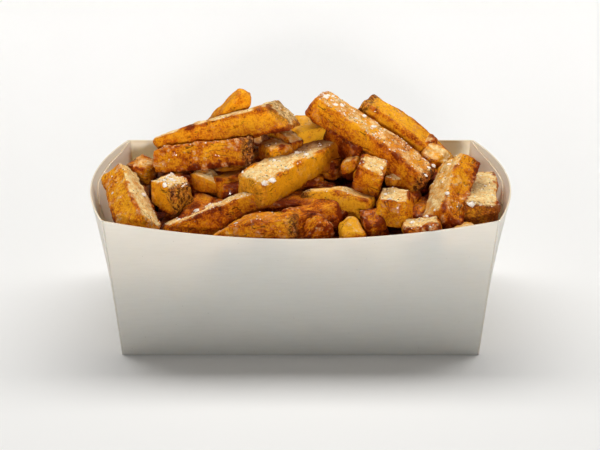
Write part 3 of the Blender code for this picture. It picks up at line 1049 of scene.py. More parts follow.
    def relief(self, grain: Grain, skin: Array) -> Array:
        """How far each point moves out: a sum of the noises, with the skin's ridges cubed.

        Args:
            grain: the fry's noise.
            skin: each point's share of skin.

        Returns:
            Distances in mm.
        """
        move = 0.95 * grain.broad + 0.55 * grain.mid + 0.22 * grain.fine - 0.15
        move += self.style.blister * (0.6 * grain.dome + 0.4 * grain.pimple - 0.15)
        return move + skin * (0.7 * grain.ridge() ** 3 - 0.35)

    def marks(self, grain: Grain, local: Array, length: float, facing_light: Array,
              on_face: Array) -> dict[str, Array]:
        """Edges and rims go brown in the frying, and tops stay pale, partly as painted light from
        above; the fry is also browner towards its lower side.

        Args:
            grain: the fry's noise.
            local: across, up and along places in mm.
            length: the fry's length.
            facing_light: how far each point faces up, towards the lamp; it places the painted top
                light.
            on_face: whether it lies on an end face.

        Returns:
            Values by name, one for each point.
        """
        style, mottle = self.style, grain.mottle()
        reach = abs(local[:, :2]) / self.half
        edge = smoothstep(0.6, 0.84, reach[:, 0] * reach[:, 1])
        close = np.minimum(local[:, 2], length - local[:, 2])
        rim = smoothstep(3.5, 0.8, close) * smoothstep(0.6, 0.95, reach.max(axis=1))
        # Paler where the surface turns up to the lamp: partly painted light.
        pale = style.pale * smoothstep(0.45, 0.92, facing_light + 0.16 * grain.mid + 0.08 * grain.fine)
        pale *= 1 - 0.45 * smoothstep(0.0, 0.7, mottle)
        pale *= 1 - 0.85 * np.maximum(edge, rim) * smoothstep(-0.5, 0.3, grain.mid)
        brown = style.brown * (0.8 + 0.7 * mottle) + 0.65 * edge * (0.6 + 0.7 * grain.mid)
        brown += 0.6 * rim * (0.6 + 0.7 * mottle) + 0.2 * on_face * (0.5 + mottle)
        # Browner towards the fry's lower side.
        below = smoothstep(0.1, 1.0, -local[:, 1] / self.half[1])
        brown += 0.35 * below * (0.7 + 0.6 * mottle)
        crust = 0.45 + 0.5 * grain.dome + 0.4 * grain.pimple + 0.2 * grain.fine
        return {
            "pale": pale,
            "brown": np.clip(brown, 0, 1.2),
            "blister": np.full(len(local), style.blister),
            "crust": np.clip(crust, 0, 1),
            "yellow": np.full(len(local), style.yellow),
        }

    def unrolled(self, local: Array) -> Array:
        """UV places: length along the fry, and the way round it out and back, without a seam.

        Args:
            local: across, up and along places in mm, ring after ring.

        Returns:
            Places in metres, with one more for each end's point.
        """
        along = np.concatenate([local[:, 2], local[[0, -1], 2]])
        turn = np.concatenate([np.arange(len(local)) % self.around, [0, 0]])
        swing = np.abs(turn / self.around - 0.5) * 2 * (self.width + self.height)
        step = np.array(OWN_UV_STEP) * self.number
        return (np.stack([along, swing], axis=-1) + step) * MM

    def skin_share(self, local: Array, length: float, ragged: Array) -> Array:
        """How much of a point is skin: it covers the last millimetres at one end, raggedly.

        Args:
            local: across, up and along places in mm.
            length: the fry's length.
            ragged: noise that shifts the skin's edge.

        Returns:
            Shares from 0 to 1.
        """
        if self.style.skin is Skin.NONE:
            return np.zeros(len(local))
        away = local[:, 2] if self.style.skin is Skin.START else length - local[:, 2]
        return smoothstep(6.5, 2.0, away + 3.5 * ragged)


@dataclass
class Heap:
    """All the fries: the core, the settled ones and the ones in front."""

    potato: bpy.types.Material
    front: list[Surface] = field(default_factory=list)

    def core(self) -> Surface:
        """The middle of the heap: superellipse rings that follow the carton, under a low dome.

        Returns:
            The core's surface.
        """
        around = 120
        floor = BOARD + FLOOR_GAP
        sizes = np.array((0.97, 0.9, 0.78, 0.6, 0.35))
        heights = np.concatenate([np.linspace(floor, CORE_SHOULDER * MM, 6),
                                  (CORE_SHOULDER + CORE_DOME * np.sqrt(1 - sizes ** 3)) * MM])
        sizes = np.concatenate([np.ones(6), sizes])
        near = np.minimum(heights, CORE_SHOULDER * MM)
        a = (wall_half_length(wall_half_width(near), near) - CORE_GAP) * sizes
        b = (wall_half_width(near) - CORE_GAP) * sizes
        angle = np.linspace(0, 2 * math.pi, around, endpoint=False)
        power = 2 / CORE_POWER
        x = np.outer(a, np.sign(np.cos(angle)) * abs(np.cos(angle)) ** power)
        y = np.outer(b, np.sign(np.sin(angle)) * abs(np.sin(angle)) ** power)
        z = np.broadcast_to(heights[:, None], x.shape)
        points = np.stack([x, y, z], axis=-1).reshape(-1, 3)
        ends = np.array(((0, 0, heights[0]), (0, 0, heights[-1])))
        points = np.concatenate([points, ends])
        quads, triangles = tube_faces(len(heights), around)
        count = len(points)
        # Dark brown all over, a painted shade for the gaps that reach down into the heap.
        values = {"pale": np.zeros(count), "brown": np.full(count, 0.95),
                  "blister": np.full(count, 0.3), "crust": np.full(count, 0.5),
                  "skin": np.zeros(count), "yellow": np.zeros(count)}
        return Surface(points, quads, triangles, values, points[:, :2].copy())

    @staticmethod
    def settled(rows: Sequence[Row]) -> list[Surface]:
        """Surfaces of the settled fries, each with a seeded style; those in front are made browner and
        less pale as painted shade.

        Args:
            rows: what Settling gives.

        Returns:
            One surface for each row.
        """
        draw = np.random.default_rng(STYLE_SEED)
        first = len(FRONT_FRIES)
        made = []
        for number, row in enumerate(rows):
            skin = draw.choice([Skin.NONE, Skin.NONE, Skin.NONE, Skin.START, Skin.END])
            brown, pale = draw.uniform(0.4, 0.8), draw.uniform(0.3, 0.8)
            start, end = row[:2]
            # Painted shade: settled fries in front lie in shadow, so they are made browner and less
            # pale.
            if (start[1] + end[1]) / 2 < SHADED_FRONT:
                brown, pale = brown + 0.3, 0.2 * pale
            style = Style(brown, pale, draw.uniform(0.1, 0.9), skin, draw.uniform(0.0, 0.6))
            made.append(Fry(first + number, *row, style, around=48, spacing=1.6).surface())
        return made

    @staticmethod
    def local_top(surfaces: Sequence[Surface]) -> tuple[Array, Array]:
        """Height grid of what shows from above, spread a few millimetres and evened out.

        Each cell holds its highest point, then three times the highest of its neighbours, then
        four times their mean.

        Args:
            surfaces: everything in the heap.

        Returns:
            The raw height grid and the spread one, in mm.
        """
        grid = np.full(TOP_CELLS, LOWEST_TOP)
        for surface in surfaces:
            i, j = Heap.cells(surface.points)
            np.maximum.at(grid, (i, j), surface.points[:, 2] / MM)
        spread = grid
        for _ in range(3):
            spread = neighbours(spread, 1).max(axis=0)
        for _ in range(4):
            spread = neighbours(spread, 1).mean(axis=0)
        return grid, spread

    @staticmethod
    def cells(points: Array) -> tuple[Array, Array]:
        """Rows and columns of the height grid for places.

        Args:
            points: places in metres.

        Returns:
            Two arrays of integers.
        """
        i, j = (np.clip(((points[:, axis] / MM + count) / GRID).astype(int), 0, count - 1)
                for axis, count in enumerate(TOP_CELLS))
        return i, j

    def build(self) -> list[bpy.types.Object]:
        """Make the heap's pieces.

        Returns:
            The core and the fries as five objects.
        """
        rows = Settling().rows()
        self.front = [Fry(number, *row).surface() for number, row in enumerate(FRONT_FRIES)]
        settled = self.settled(rows)
        core = self.core()
        _, spread = self.local_top([core, *settled, *self.front])
        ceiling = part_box("fries")[1].z - SKIM
        for surface in (core, *settled, *self.front):
            i, j = self.cells(surface.points)
            # Painted shade: darker the further a point lies under the spread tops, less on yellow
            # fries.
            under = spread[i, j] - surface.points[:, 2] / MM
            fresh = surface.values["yellow"]
            surface.values["painted_shade"] = smoothstep(*PAINTED_SHADE_RANGE, under) * (1 - 0.75 * fresh)
            surface.points[:, 2] = np.minimum(surface.points[:, 2], ceiling)
        half = len(settled) // 2
        groups = {"heap_core": [core],
                  "fries_settled_low": settled[:half],
                  "fries_settled_high": settled[half:],
                  "fries_front_left": self.front[:LEFT_HALF],
                  "fries_front_right": self.front[LEFT_HALF:]}
        made = []
        for name, surfaces in groups.items():
            piece = surfaces[0].joined(surfaces[1:]).as_object(name, self.potato)
            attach(piece, "root")
            made.append(piece)
            LOG.info("%s: %d fries or parts", name, len(surfaces))
        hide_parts("fries")
        return made


@dataclass
class Carton:
    """The paperboard carton as one folded sheet, from the underside over the rim to the floor."""

    board: bpy.types.Material
    steps: int = 96
    levels: int = 24

    def end_shares(self) -> Array:
        """Shares across an end panel: the flaps' own corners, and even steps not close to them.

        Returns:
            Shares between -1 and 1 without either end.
        """
        least = 0.004
        even = np.linspace(-1, 1, self.steps + 1)
        own = np.array([y for y, _ in FLAP_EDGE]) * MM / RIM_HALF_WIDTH
        apart = abs(even[:, None] - own[None]).min(axis=1) > least
        return np.sort(np.concatenate([even[apart], own]))[1:-1]

    def columns(self) -> dict[str, Array]:
        """Points round the wall, anticlockwise from the front left.

        Each corner has as many points as its fold profile, numbered from the front or end panel.

        Returns:
            Side, whether it is an end, share, drop of the flap's edge in mm, whether a flap covers
            it, and the fold point's number (-1 away from a corner).
        """
        front = np.linspace(-1, 1, self.steps + 1)[1:-1]
        ends = self.end_shares()
        fold = np.arange(len(FOLD_PROFILE))
        runs = []
        for side, shares in ((Side.FRONT, front), (Side.RIGHT, ends),
                             (Side.BACK, -front), (Side.LEFT, -ends)):
            runs.append((side, shares, np.full(len(shares), -1)))
            if side in (Side.FRONT, Side.BACK):
                last = 1.0 if side is Side.FRONT else -1.0
                runs.append((side, np.full(len(fold), last), fold))
                continue
            first = 1.0 if side is Side.RIGHT else -1.0
            following = Side.BACK if side is Side.RIGHT else Side.FRONT
            runs.append((following, np.full(len(fold), first), fold[::-1]))
        side = np.concatenate([np.full(len(shares), kind.value) for kind, shares, _ in runs])
        share = np.concatenate([shares for _, shares, _ in runs])
        number = np.concatenate([numbers for _, _, numbers in runs])
        places = np.array([y for y, _ in FLAP_EDGE]) * MM / RIM_HALF_WIDTH
        drops = np.array([drop for _, drop in FLAP_EDGE])
        on_end = (side == Side.RIGHT.value) | (side == Side.LEFT.value)
        drop = np.where(on_end, np.interp(share, places, drops), CORNER_DROP)
        y = share * RIM_HALF_WIDTH / MM
        bare = on_end & (y > FLAPLESS[0]) & (y < FLAPLESS[1])
        return {"side": side, "end": on_end, "share": share, "drop": drop, "covered": ~bare,
                "fold": number}

    @staticmethod
    def place(columns: Mapping[str, Array], t: Array, out: Array, inside: bool) -> Array:
        """Points of one ring at flare share t: each panel's own plane, folded at the corners.

        A panel leans out by the flare times t; an end panel also bows by a parabola times t.

        Args:
            columns: what columns() gives.
            t: flare share of each column, 0 at the base and 1 at the corners' rim.
            out: how far an end panel's surface lies outside the fold line.
            inside: whether this is the inner face.

        Returns:
            Points of shape (n, 3).
        """
        side, share, fold = columns["side"], columns["share"], columns["fold"]
        thick = BOARD if inside else 0.0
        half_length = BASE_LENGTH / 2 + FLARE * t
        half_width = BASE_WIDTH / 2 + FLARE * t
        sign_y = np.where(side == Side.FRONT.value, -1.0, 1.0)
        x_long, y_long = share * (half_length - thick), sign_y * (half_width - thick)
        sign_x = np.where(side == Side.RIGHT.value, 1.0, -1.0)
        bow = END_BULGE * t * (1 - share ** 2)
        x_end = sign_x * (half_length + bow + out)
        y_end = share * (half_width - thick)
        x = np.where(columns["end"], x_end, x_long)
        y = np.where(columns["end"], y_end, y_long)
        corner = fold >= 0
        past, back = np.transpose(FOLD_PROFILE) * MM
        if inside:
            turn = np.linspace(0, math.pi / 2, len(FOLD_PROFILE))
            past, back = FILLET * (np.sin(turn) - 1) - BOARD, FILLET * (1 - np.cos(turn)) + BOARD
        number = np.maximum(fold, 0)
        x = np.where(corner, np.sign(share) * (half_length + past[number]), x)
        y = np.where(corner, sign_y * (half_width - back[number]), y)
        return np.stack([x, y, t * CORNER_HEIGHT], axis=-1)

    def outer_rings(self, columns: Mapping[str, Array], rim: Array) -> list[Ring]:
        """The outer face from the underside up to the rim, where the board is cut.

        Args:
            columns: what columns() gives.
            rim: the rim's flare share at each column.

        Returns:
            Each ring's points, its share of the painted warm bounce light, and its cut.
        """
        below = [rim * step for step in np.linspace(0, 1, self.levels + 1)[:-1]]
        below.append(rim - 2 * HAIR / CORNER_HEIGHT)
        made = [(self.place(columns, t, OUTER, False), 0.0, 0.0) for t in below]
        return [*made, (self.place(columns, rim, OUTER, False), 0.0, 1.0)]

    def rim_rings(self, columns: Mapping[str, Array], rim: Array, flap_top: Array) -> list[Ring]:
        """The inner face from the cut rim down to just over the flaps' upper edges.

        Args:
            columns: what columns() gives.
            rim: the rim's flare share at each column.
            flap_top: the flaps' upper edge as a flare share.

        Returns:
            Each ring's points, its share of the painted warm bounce light, and its cut.
        """
        hair = HAIR / CORNER_HEIGHT
        out = np.where(columns["fold"] >= 0, -BOARD, OUTER - BOARD)
        reach = rim - flap_top - hair
        shares = [rim, rim - 2 * hair, *(rim - reach * part for part in (0.25, 0.5, 0.75, 1.0))]
        cuts = (1.0, 0.0, 0.0, 0.0, 0.0, 1.0)
        return [(self.place(columns, t, out, True), FLAP_PAINTED_WARMTH, cut)
                for t, cut in zip(shares, cuts)]

    def inner_rings(self, columns: Mapping[str, Array], flap_top: Array) -> list[Ring]:
        """The inner face from the flaps' cut upper edges down to the floor, with more painted warm
        bounce light from the fries further down.

        Args:
            columns: what columns() gives.
            flap_top: the flaps' upper edge as a flare share.

        Returns:
            Each ring's points, its share of the painted warm bounce light, and its cut.
        """
        on_flap = (columns["fold"] >= 0) | columns["covered"]
        out = np.where(on_flap, -BOARD, OUTER - BOARD)
        fall = BOARD / CORNER_HEIGHT - flap_top
        # Painted warm bounce light, stronger further down towards the fries.
        return [(self.place(columns, flap_top + fall * part, out, True),
                 min(1.0, 0.45 + 4.0 * part), float(part == 0.0))
                for part in (0.0, 0.02, 0.15, 0.4, 0.7, 1.0)]

    def surface(self) -> Surface:
        """The whole folded sheet.

        Returns:
            A closed surface with inside values, its painted warm bounce light, and cut values.
        """
        columns = self.columns()
        around = len(columns["share"])
        dip = FRONT_DIP * (1 - columns["share"] ** 2) / CORNER_HEIGHT
        rim = np.where(columns["side"] == Side.FRONT.value, 1 - dip, 1.0)
        flap_top = rim - columns["drop"] * MM / CORNER_HEIGHT
        rings = [*self.outer_rings(columns, rim), *self.rim_rings(columns, rim, flap_top),
                 *self.inner_rings(columns, flap_top)]
        points, inside, cut = zip(*rings)
        values = {"inside": np.concatenate([np.repeat(inside, around), [0.0, 1.0]]),
                  "cut": np.concatenate([np.repeat(cut, around), [0.0, 0.0]])}
        quads, triangles = tube_faces(len(rings), around)
        ends = np.array(((0, 0, 0), (0, 0, BOARD)))
        return Surface(np.concatenate([*points, ends]), quads, triangles, values)

    def build(self) -> bpy.types.Object:
        """Make the carton.

        Returns:
            The carton's object.
        """
        piece = self.surface().as_object("carton", self.board, crease=24)
        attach(piece, "root")
        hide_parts("tray")
        return piece


@dataclass
class Seasoning:
    """Salt and pepper on the upward faces of the fries in front."""

    salt: bpy.types.Material
    pepper: bpy.types.Material

    @staticmethod
    def pebbles(places: Array, normals: Array, sizes: Array, flatness: Array,
                draw: np.random.Generator) -> Surface:
        """Small irregular stones: an icosahedron for each, its corners pushed in and out.

        Args:
            places: where each sits, in metres.
            normals: which way its thin side faces.
            sizes: radius of each in metres.
            flatness: thickness of each as a share of its width.
            draw: random numbers.

        Returns:
            One surface with all of them.
        """
        golden = (1 + math.sqrt(5)) / 2
        corners = np.array([(s, t * golden, 0) for s in (-1, 1) for t in (-1, 1)])
        base = np.concatenate([np.roll(corners, shift, axis=1) for shift in range(3)])
        base /= np.linalg.norm(base, axis=1, keepdims=True)
        gap = np.linalg.norm(base[:, None] - base[None], axis=-1)
        near = (gap > 0.1) & (gap < 1.1)
        faces = np.array([(i, j, k) for i in range(12) for j in range(i) for k in range(j)
                          if near[i, j] and near[j, k] and near[i, k]])
        turned = np.einsum("ij,ij->i", np.cross(base[faces[:, 1]] - base[faces[:, 0]],
                                                base[faces[:, 2]] - base[faces[:, 0]]),
                           base[faces].mean(axis=1)) < 0
        faces[turned] = faces[turned][:, ::-1]
        count = len(places)
        side = np.cross(normals, draw.normal(size=(count, 3)))
        side /= np.linalg.norm(side, axis=1, keepdims=True)
        other = np.cross(normals, side)
        stretch = draw.uniform(0.65, 1.35, (count, 12))
        body = base[None] * stretch[..., None] * sizes[:, None, None]
        lengthen = draw.uniform(0.7, 1.2, count)[:, None, None]
        points = (places[:, None] + body[..., :1] * side[:, None] * lengthen
                  + body[..., 1:2] * other[:, None]
                  + body[..., 2:] * normals[:, None] * flatness[:, None, None])
        triangles = (faces[None] + 12 * np.arange(count)[:, None, None]).reshape(-1, 3)
        return Surface(points.reshape(-1, 3), np.zeros((0, 4), int), triangles)

    def spots(self, heap: Heap, count: int, draw: np.random.Generator,
              bunching: float) -> tuple[Array, Array]:
        """Seeded places on salted fries that nothing lies over.

        Args:
            heap: the finished heap.
            count: how many.
            draw: random numbers.
            bunching: how strongly they gather in patches.

        Returns:
            Places and unit normals.
        """
        grid, _ = heap.local_top(heap.front)
        places, normals, weights = [], [], []
        for number, amount in SALTED.items():
            surface = heap.front[number]
            corner = surface.points[surface.quads]
            normal = np.cross(corner[:, 2] - corner[:, 0], corner[:, 3] - corner[:, 1])
            area = np.linalg.norm(normal, axis=1)
            normal /= np.maximum(area, NO_LENGTH)[:, None]
            middle = corner.mean(axis=1)
            i, j = heap.cells(middle)
            open_above = grid[i, j] - middle[:, 2] / MM < OPEN_ABOVE
            patch = Lattice(PATCH_NOISE).smooth(middle / MM, 7.0)
            chance = amount * area * smoothstep(0.62, 0.85, normal[:, 2]) * open_above
            places.append(middle)
            normals.append(normal)
            weights.append(chance * np.exp(bunching * patch))
        places, normals = np.concatenate(places), np.concatenate(normals)
        weights = np.concatenate(weights)
        picked = draw.choice(len(places), size=count, replace=False, p=weights / weights.sum())
        return places[picked], normals[picked]

    def build(self, heap: Heap) -> list[bpy.types.Object]:
        """Make the salt and the pepper.

        Args:
            heap: the finished heap.

        Returns:
            Two objects.
        """
        draw = np.random.default_rng(SEASONING_SEED)
        places, normals = self.spots(heap, SALT_GRAINS, draw, SALT_BUNCHING)
        sizes = draw.uniform(*SALT_SIZES, SALT_GRAINS) * MM
        sizes[:FLAKES] = draw.uniform(*FLAKE_SIZES, FLAKES) * MM
        flatness = draw.uniform(0.3, 0.7, SALT_GRAINS)
        salt = self.pebbles(places + normals * (0.3 * sizes * flatness)[:, None], normals, sizes,
                            flatness, draw)
        places, normals = self.spots(heap, PEPPER_GRAINS, draw, PEPPER_BUNCHING)
        sizes = draw.uniform(*PEPPER_SIZES, PEPPER_GRAINS) * MM
        flatness = np.full(PEPPER_GRAINS, 0.6)
        pepper = self.pebbles(places, normals, sizes, flatness, draw)
        made = [salt.as_object("salt", self.salt, crease=10),
                pepper.as_object("pepper", self.pepper)]
        for piece in made:
            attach(piece, "root")
        return made


@dataclass(frozen=True)
class Sock:
    """One output of a shader node, with arithmetic that adds Math nodes."""

    graph: "Graph"
    socket: bpy.types.NodeSocket

    def math(self, operation: str, *others: Any, clamp: bool = False) -> "Sock":
        """A Math node on this value and others.

        Args:
            operation: the node's operation.
            others: further inputs.
            clamp: whether the result is kept between 0 and 1.

        Returns:
            The result.
        """
        inputs = dict(enumerate((self, *others)))
        return self.graph.node("ShaderNodeMath", {"operation": operation, "use_clamp": clamp},
                               inputs)

    def __add__(self, other: Any) -> "Sock":
        """This value plus another."""
        return self.math("ADD", other)

    def __radd__(self, other: Any) -> "Sock":
        """A number plus this value."""
        return self.math("ADD", other)

    def __sub__(self, other: Any) -> "Sock":
        """This value less another."""
        return self.math("SUBTRACT", other)

    def __rsub__(self, other: Any) -> "Sock":
        """A number less this value."""
        return (self * -1.0) + other

    def __mul__(self, other: Any) -> "Sock":
        """This value times another."""
        return self.math("MULTIPLY", other)

    def __rmul__(self, other: Any) -> "Sock":
        """A number times this value."""
        return self.math("MULTIPLY", other)

    def __abs__(self) -> "Sock":
        """This value without its sign."""
        return self.math("ABSOLUTE")

    def eased(self, low: float, high: float) -> "Sock":
        """Smooth step from 0 at low to 1 at high.

        Args:
            low: where the result is 0.
            high: where it is 1.

        Returns:
            The result.
        """
        settings = {"interpolation_type": "SMOOTHSTEP"}
        return self.graph.node("ShaderNodeMapRange", settings, {0: self, 1: low, 2: high, 3: 0.0,
                                                                4: 1.0})

    def clamped(self) -> "Sock":
        """This value kept between 0 and 1.

        Returns:
            The result.
        """
        return self.math("ADD", 0.0, clamp=True)


class Graph:
    """A material's node tree."""

    def __init__(self, name: str) -> None:
        """Start a material with a Principled shader.

        Args:
            name: the material's name.
        """
        self.material = bpy.data.materials.new(name)
        self.material.use_nodes = True
        self.tree = self.material.node_tree
        self.shader = self.tree.nodes["Principled BSDF"]

    def node(self, kind: str, settings: Mapping[str, Any], inputs: Mapping[Any, Any],
             output: Any = 0) -> Sock:
        """Any node: its type, settings and inputs.

        Args:
            kind: the node's type name.
            settings: properties by name.
            inputs: values or Socks by input name or number.
            output: which output to give.

        Returns:
            That output.
        """
        made = self.tree.nodes.new(kind)
        for name, value in settings.items():
            setattr(made, name, value)
        for key, value in inputs.items():
            self.put(made.inputs[key], value)
        return Sock(self, made.outputs[output])

    def put(self, socket: bpy.types.NodeSocket, value: Any) -> None:
        """Set an input to a constant or link it.

        Args:
            socket: the input.
            value: a number, a colour or a Sock.
        """
        if isinstance(value, Sock):
            self.tree.links.new(value.socket, socket)
        elif isinstance(value, tuple) and socket.type == "RGBA":
            socket.default_value = (*value, 1.0)
        else:
            socket.default_value = value

    def finish(self, **inputs: Any) -> bpy.types.Material:
        """Set inputs of the Principled shader, with underscores in their names for spaces.

        Args:
            inputs: values by input name.

        Returns:
            The material.
        """
        for name, value in inputs.items():
            self.put(self.shader.inputs[name.replace("_", " ")], value)
        return self.material

    def attribute(self, name: str) -> Sock:
        """A value stored with the mesh.

        Args:
            name: the attribute.

        Returns:
            Its number.
        """
        return self.node("ShaderNodeAttribute", {"attribute_name": name}, {}, "Fac")

    def places(self, kind: str, stretch: Place) -> Sock:
        """Object or UV coordinates in millimetres, stretched.

        Args:
            kind: Object or UV.
            stretch: factors for the three axes, on top of millimetres.

        Returns:
            A vector.
        """
        source = self.node("ShaderNodeTexCoord", {}, {}, kind)
        factors = tuple(1000.0 * factor for factor in stretch)
        return self.node("ShaderNodeVectorMath", {"operation": "MULTIPLY"},
                         {0: source, 1: factors})

    def noise(self, vector: Sock, size: float, detail: float = 2.0, rough: float = 0.5) -> Sock:
        """Noise with features of a size in millimetres.

        Args:
            vector: coordinates in millimetres.
            size: feature size.
            detail: octaves.
            rough: how strong the finer ones are.

        Returns:
            Values round 0.5.
        """
        return self.node("ShaderNodeTexNoise", {},
                         {"Vector": vector, "Scale": 1.0 / size, "Detail": detail,
                          "Roughness": rough}, "Fac")

    def spots(self, vector: Sock, size: float, radius: float, share: float) -> Sock:
        """Small round spots, one in some of the cells of a size.

        Args:
            vector: coordinates in millimetres.
            size: cell size.
            radius: spot radius in cells.
            share: how many of the cells have one.

        Returns:
            1 in a spot and 0 outside it.
        """
        made = self.tree.nodes.new("ShaderNodeTexVoronoi")
        self.put(made.inputs["Vector"], vector)
        self.put(made.inputs["Scale"], 1.0 / size)
        near = 1.0 - Sock(self, made.outputs["Distance"]).eased(0.6 * radius, radius)
        channel = self.node("ShaderNodeSeparateColor", {}, {0: Sock(self, made.outputs["Color"])})
        return near * channel.math("LESS_THAN", share)

    def mix(self, factor: Any, first: Any, second: Any, blend: str = "MIX") -> Sock:
        """Two colours mixed.

        Args:
            factor: share of the second.
            first: colour or Sock.
            second: colour or Sock.
            blend: the way of blending.

        Returns:
            A colour.
        """
        return self.node("ShaderNodeMix", {"data_type": "RGBA", "blend_type": blend},
                         {0: factor, 6: first, 7: second}, 2)

    def bump(self, height: Sock, depth: float) -> Sock:
        """A Bump node.

        Args:
            height: the relief, from 0 to 1.
            depth: its depth in millimetres.

        Returns:
            A normal.
        """
        return self.node("ShaderNodeBump", {}, {"Strength": 1.0, "Distance": depth * MM,
                                                "Height": height})


@dataclass(frozen=True)
class PotatoGrain:
    """The noises that the fried potato's colours and relief share, and how pale each place is,
    partly as painted light on the upper faces.
    """

    place: Sock
    coarse: Sock
    fine: Sock
    patch: Sock
    fibre: Sock
    vein: Sock
    crack: Sock
    paleness_and_top_light: Sock

    @classmethod
    def on(cls, g: Graph) -> "PotatoGrain":
        """Add the noises to a material.

        Veins and cracks lie where a noise passes its middle value, so they are thin lines.

        Args:
            g: the material's nodes.

        Returns:
            The noises.
        """
        place = g.places("Object", (1.0, 1.0, 1.0))
        coarse, fine = g.noise(place, 3.4, 4.0, 0.6), g.noise(place, 0.9, 3.0, 0.65)
        fibre = g.noise(g.places("UV", (0.35, 1.0, 1.0)), 1.4, 3.0, 0.65)
        vein = 1.0 - abs(g.noise(place, 1.7, 2.0, 0.6) - 0.5).eased(0.0, 0.07)
        contour = abs(g.noise(g.places("UV", (0.3, 1.0, 1.0)), 4.6, 2.0, 0.6) - 0.5)
        crack = (1.0 - contour.eased(0.0, 0.016)) * g.noise(place, 7.0).eased(0.52, 0.6)
        # Pale where the tops turn up to the lamp: partly painted light.
        paleness_and_top_light = g.attribute("pale") + (fine - 0.5) * 1.0 + (coarse - 0.5) * 1.4
        return cls(place, coarse, fine, g.noise(place, 1.9, 3.0, 0.6), fibre, vein, crack,
                   paleness_and_top_light.eased(0.25, 0.75))


@dataclass(frozen=True)
class PotatoFinish:
    """Fried potato: pale dry tops, oily golden sides, brown edges and skin. Linear colours.

    The tops are pale partly as painted light from above; the blister crests carry painted light,
    their hollows and the fries under others painted shade.
    """

    cream: Colour = (0.99, 0.77, 0.38)
    tan: Colour = (0.86, 0.48, 0.14)
    gold: Colour = (0.90, 0.36, 0.006)
    yellow: Colour = (0.97, 0.47, 0.02)
    amber: Colour = (0.55, 0.095, 0.001)
    brown: Colour = (0.21, 0.026, 0.001)
    husk: Colour = (0.66, 0.30, 0.06)
    dark: Colour = (0.06, 0.012, 0.003)
    # Multiplied into the colour as painted shade where fries lie under others.
    shade: Colour = (0.22, 0.05, 0.02)

    def build(self) -> bpy.types.Material:
        """Make the material.

        Returns:
            The material.
        """
        g = Graph("fried_potato")
        grain = PotatoGrain.on(g)
        skinned = g.attribute("skin").eased(0.05, 0.9)
        # The pale top colour where the surface turns up to the lamp: partly painted light.
        colour = g.mix(grain.paleness_and_top_light, self.side(g, grain), self.top(g, grain))
        colour = self.with_flecks(g, grain, colour)
        colour = self.with_skin(g, grain, colour, skinned)
        # Painted shade where other fries lie over this place.
        colour = g.mix(g.attribute("painted_shade"), colour, self.shade, "MULTIPLY")
        relief = (grain.coarse * 0.4 + grain.fine * 0.5 + grain.fibre * 0.15 - grain.crack * 0.4
                  - skinned * grain.vein * 0.2)
        return g.finish(Base_Color=colour, Roughness=grain.paleness_and_top_light * 0.15 + 0.42,
                        Specular_IOR_Level=0.06, Coat_Weight=self.oil(g, grain),
                        Coat_Roughness=0.14, Normal=g.bump(relief, 1.4))

    def side(self, g: Graph, grain: PotatoGrain) -> Sock:
        """Golden sides that turn amber and then brown where the frying marks are strong, and
        browner in the blisters' hollows as painted shade.

        Args:
            g: the material's nodes.
            grain: its noises.

        Returns:
            A colour.
        """
        brown, crust, blister = g.attribute("brown"), g.attribute("crust"), g.attribute("blister")
        colour = g.mix(g.attribute("yellow"), self.gold, self.yellow)
        tone = (grain.coarse - 0.5) * 0.8 + (grain.fine - 0.5) * 0.9 + (grain.fibre - 0.5) * 0.4
        colour = g.mix((tone + brown * 0.55).eased(0.0, 0.42) * 0.9, colour, self.amber)
        # Hollows of the blisters browner and their crests lighter: painted shade and painted light.
        browning = brown + tone * 1.6 - (crust - 0.5) * (blister * 0.8 + 0.3)
        return g.mix(browning.eased(0.5, 1.05), colour, self.brown)

    def top(self, g: Graph, grain: PotatoGrain) -> Sock:
        """Pale dry tops, in patches of cream and tan. Where they show is partly painted light from
        above.

        Args:
            g: the material's nodes.
            grain: its noises.

        Returns:
            A colour.
        """
        patches = (grain.patch * 0.7 + grain.fine * 0.3).eased(0.42, 0.6)
        return g.mix(patches, self.cream, self.tan)

    def with_flecks(self, g: Graph, grain: PotatoGrain, colour: Sock) -> Sock:
        """Pale bubbles on the blisters, a painted light on their crests, and dark specks.

        Args:
            g: the material's nodes.
            grain: its noises.
            colour: what lies under them.

        Returns:
            A colour.
        """
        # Blister crests lightened towards cream: painted light.
        blistered = (g.attribute("crust") - 0.66).eased(0.0, 0.25) * g.attribute("blister")
        painted_crest_light = (blistered * grain.fine.eased(0.4, 0.6)).clamped()
        colour = g.mix(painted_crest_light * 0.5, colour, self.cream)
        large, small = g.spots(grain.place, 2.3, 0.17, 0.55), g.spots(grain.place, 1.1, 0.2, 0.3)
        speck = large.math("MAXIMUM", small) * (grain.paleness_and_top_light * 0.6 + 0.3)
        return g.mix(speck, colour, self.dark)

    def with_skin(self, g: Graph, grain: PotatoGrain, colour: Sock, skinned: Sock) -> Sock:
        """Potato skin with brown veins and dark blotches, and cracks on what isn't pale.

        Args:
            g: the material's nodes.
            grain: its noises.
            colour: what lies under them.
            skinned: where the skin is.

        Returns:
            A colour.
        """
        colour = g.mix(skinned * 0.4, colour, self.husk)
        colour = g.mix((skinned * grain.vein * 0.9).clamped(), colour, self.brown)
        blotch = (g.attribute("skin") - 0.3).eased(0.0, 0.4) * grain.patch.eased(0.47, 0.57)
        colour = g.mix(blotch * 0.85, colour, self.dark)
        return g.mix(grain.crack * 0.7 * (1.0 - g.attribute("pale") * 0.9), colour, self.dark)

    @staticmethod
    def oil(g: Graph, grain: PotatoGrain) -> Sock:
        """Where oil shines: on blisters, and in small patches of the sides.

        Args:
            g: the material's nodes.
            grain: its noises.

        Returns:
            The coat's weight.
        """
        raised = (g.attribute("crust") - 0.6).eased(0.0, 0.3) * (g.attribute("blister") * 0.8 + 0.2)
        gloss = raised * (1.0 - grain.paleness_and_top_light * 0.6)
        film = (1.0 - grain.paleness_and_top_light) * grain.fine.eased(0.54, 0.62) * 0.3
        return (gloss * grain.fine.eased(0.45, 0.6) + film).clamped()


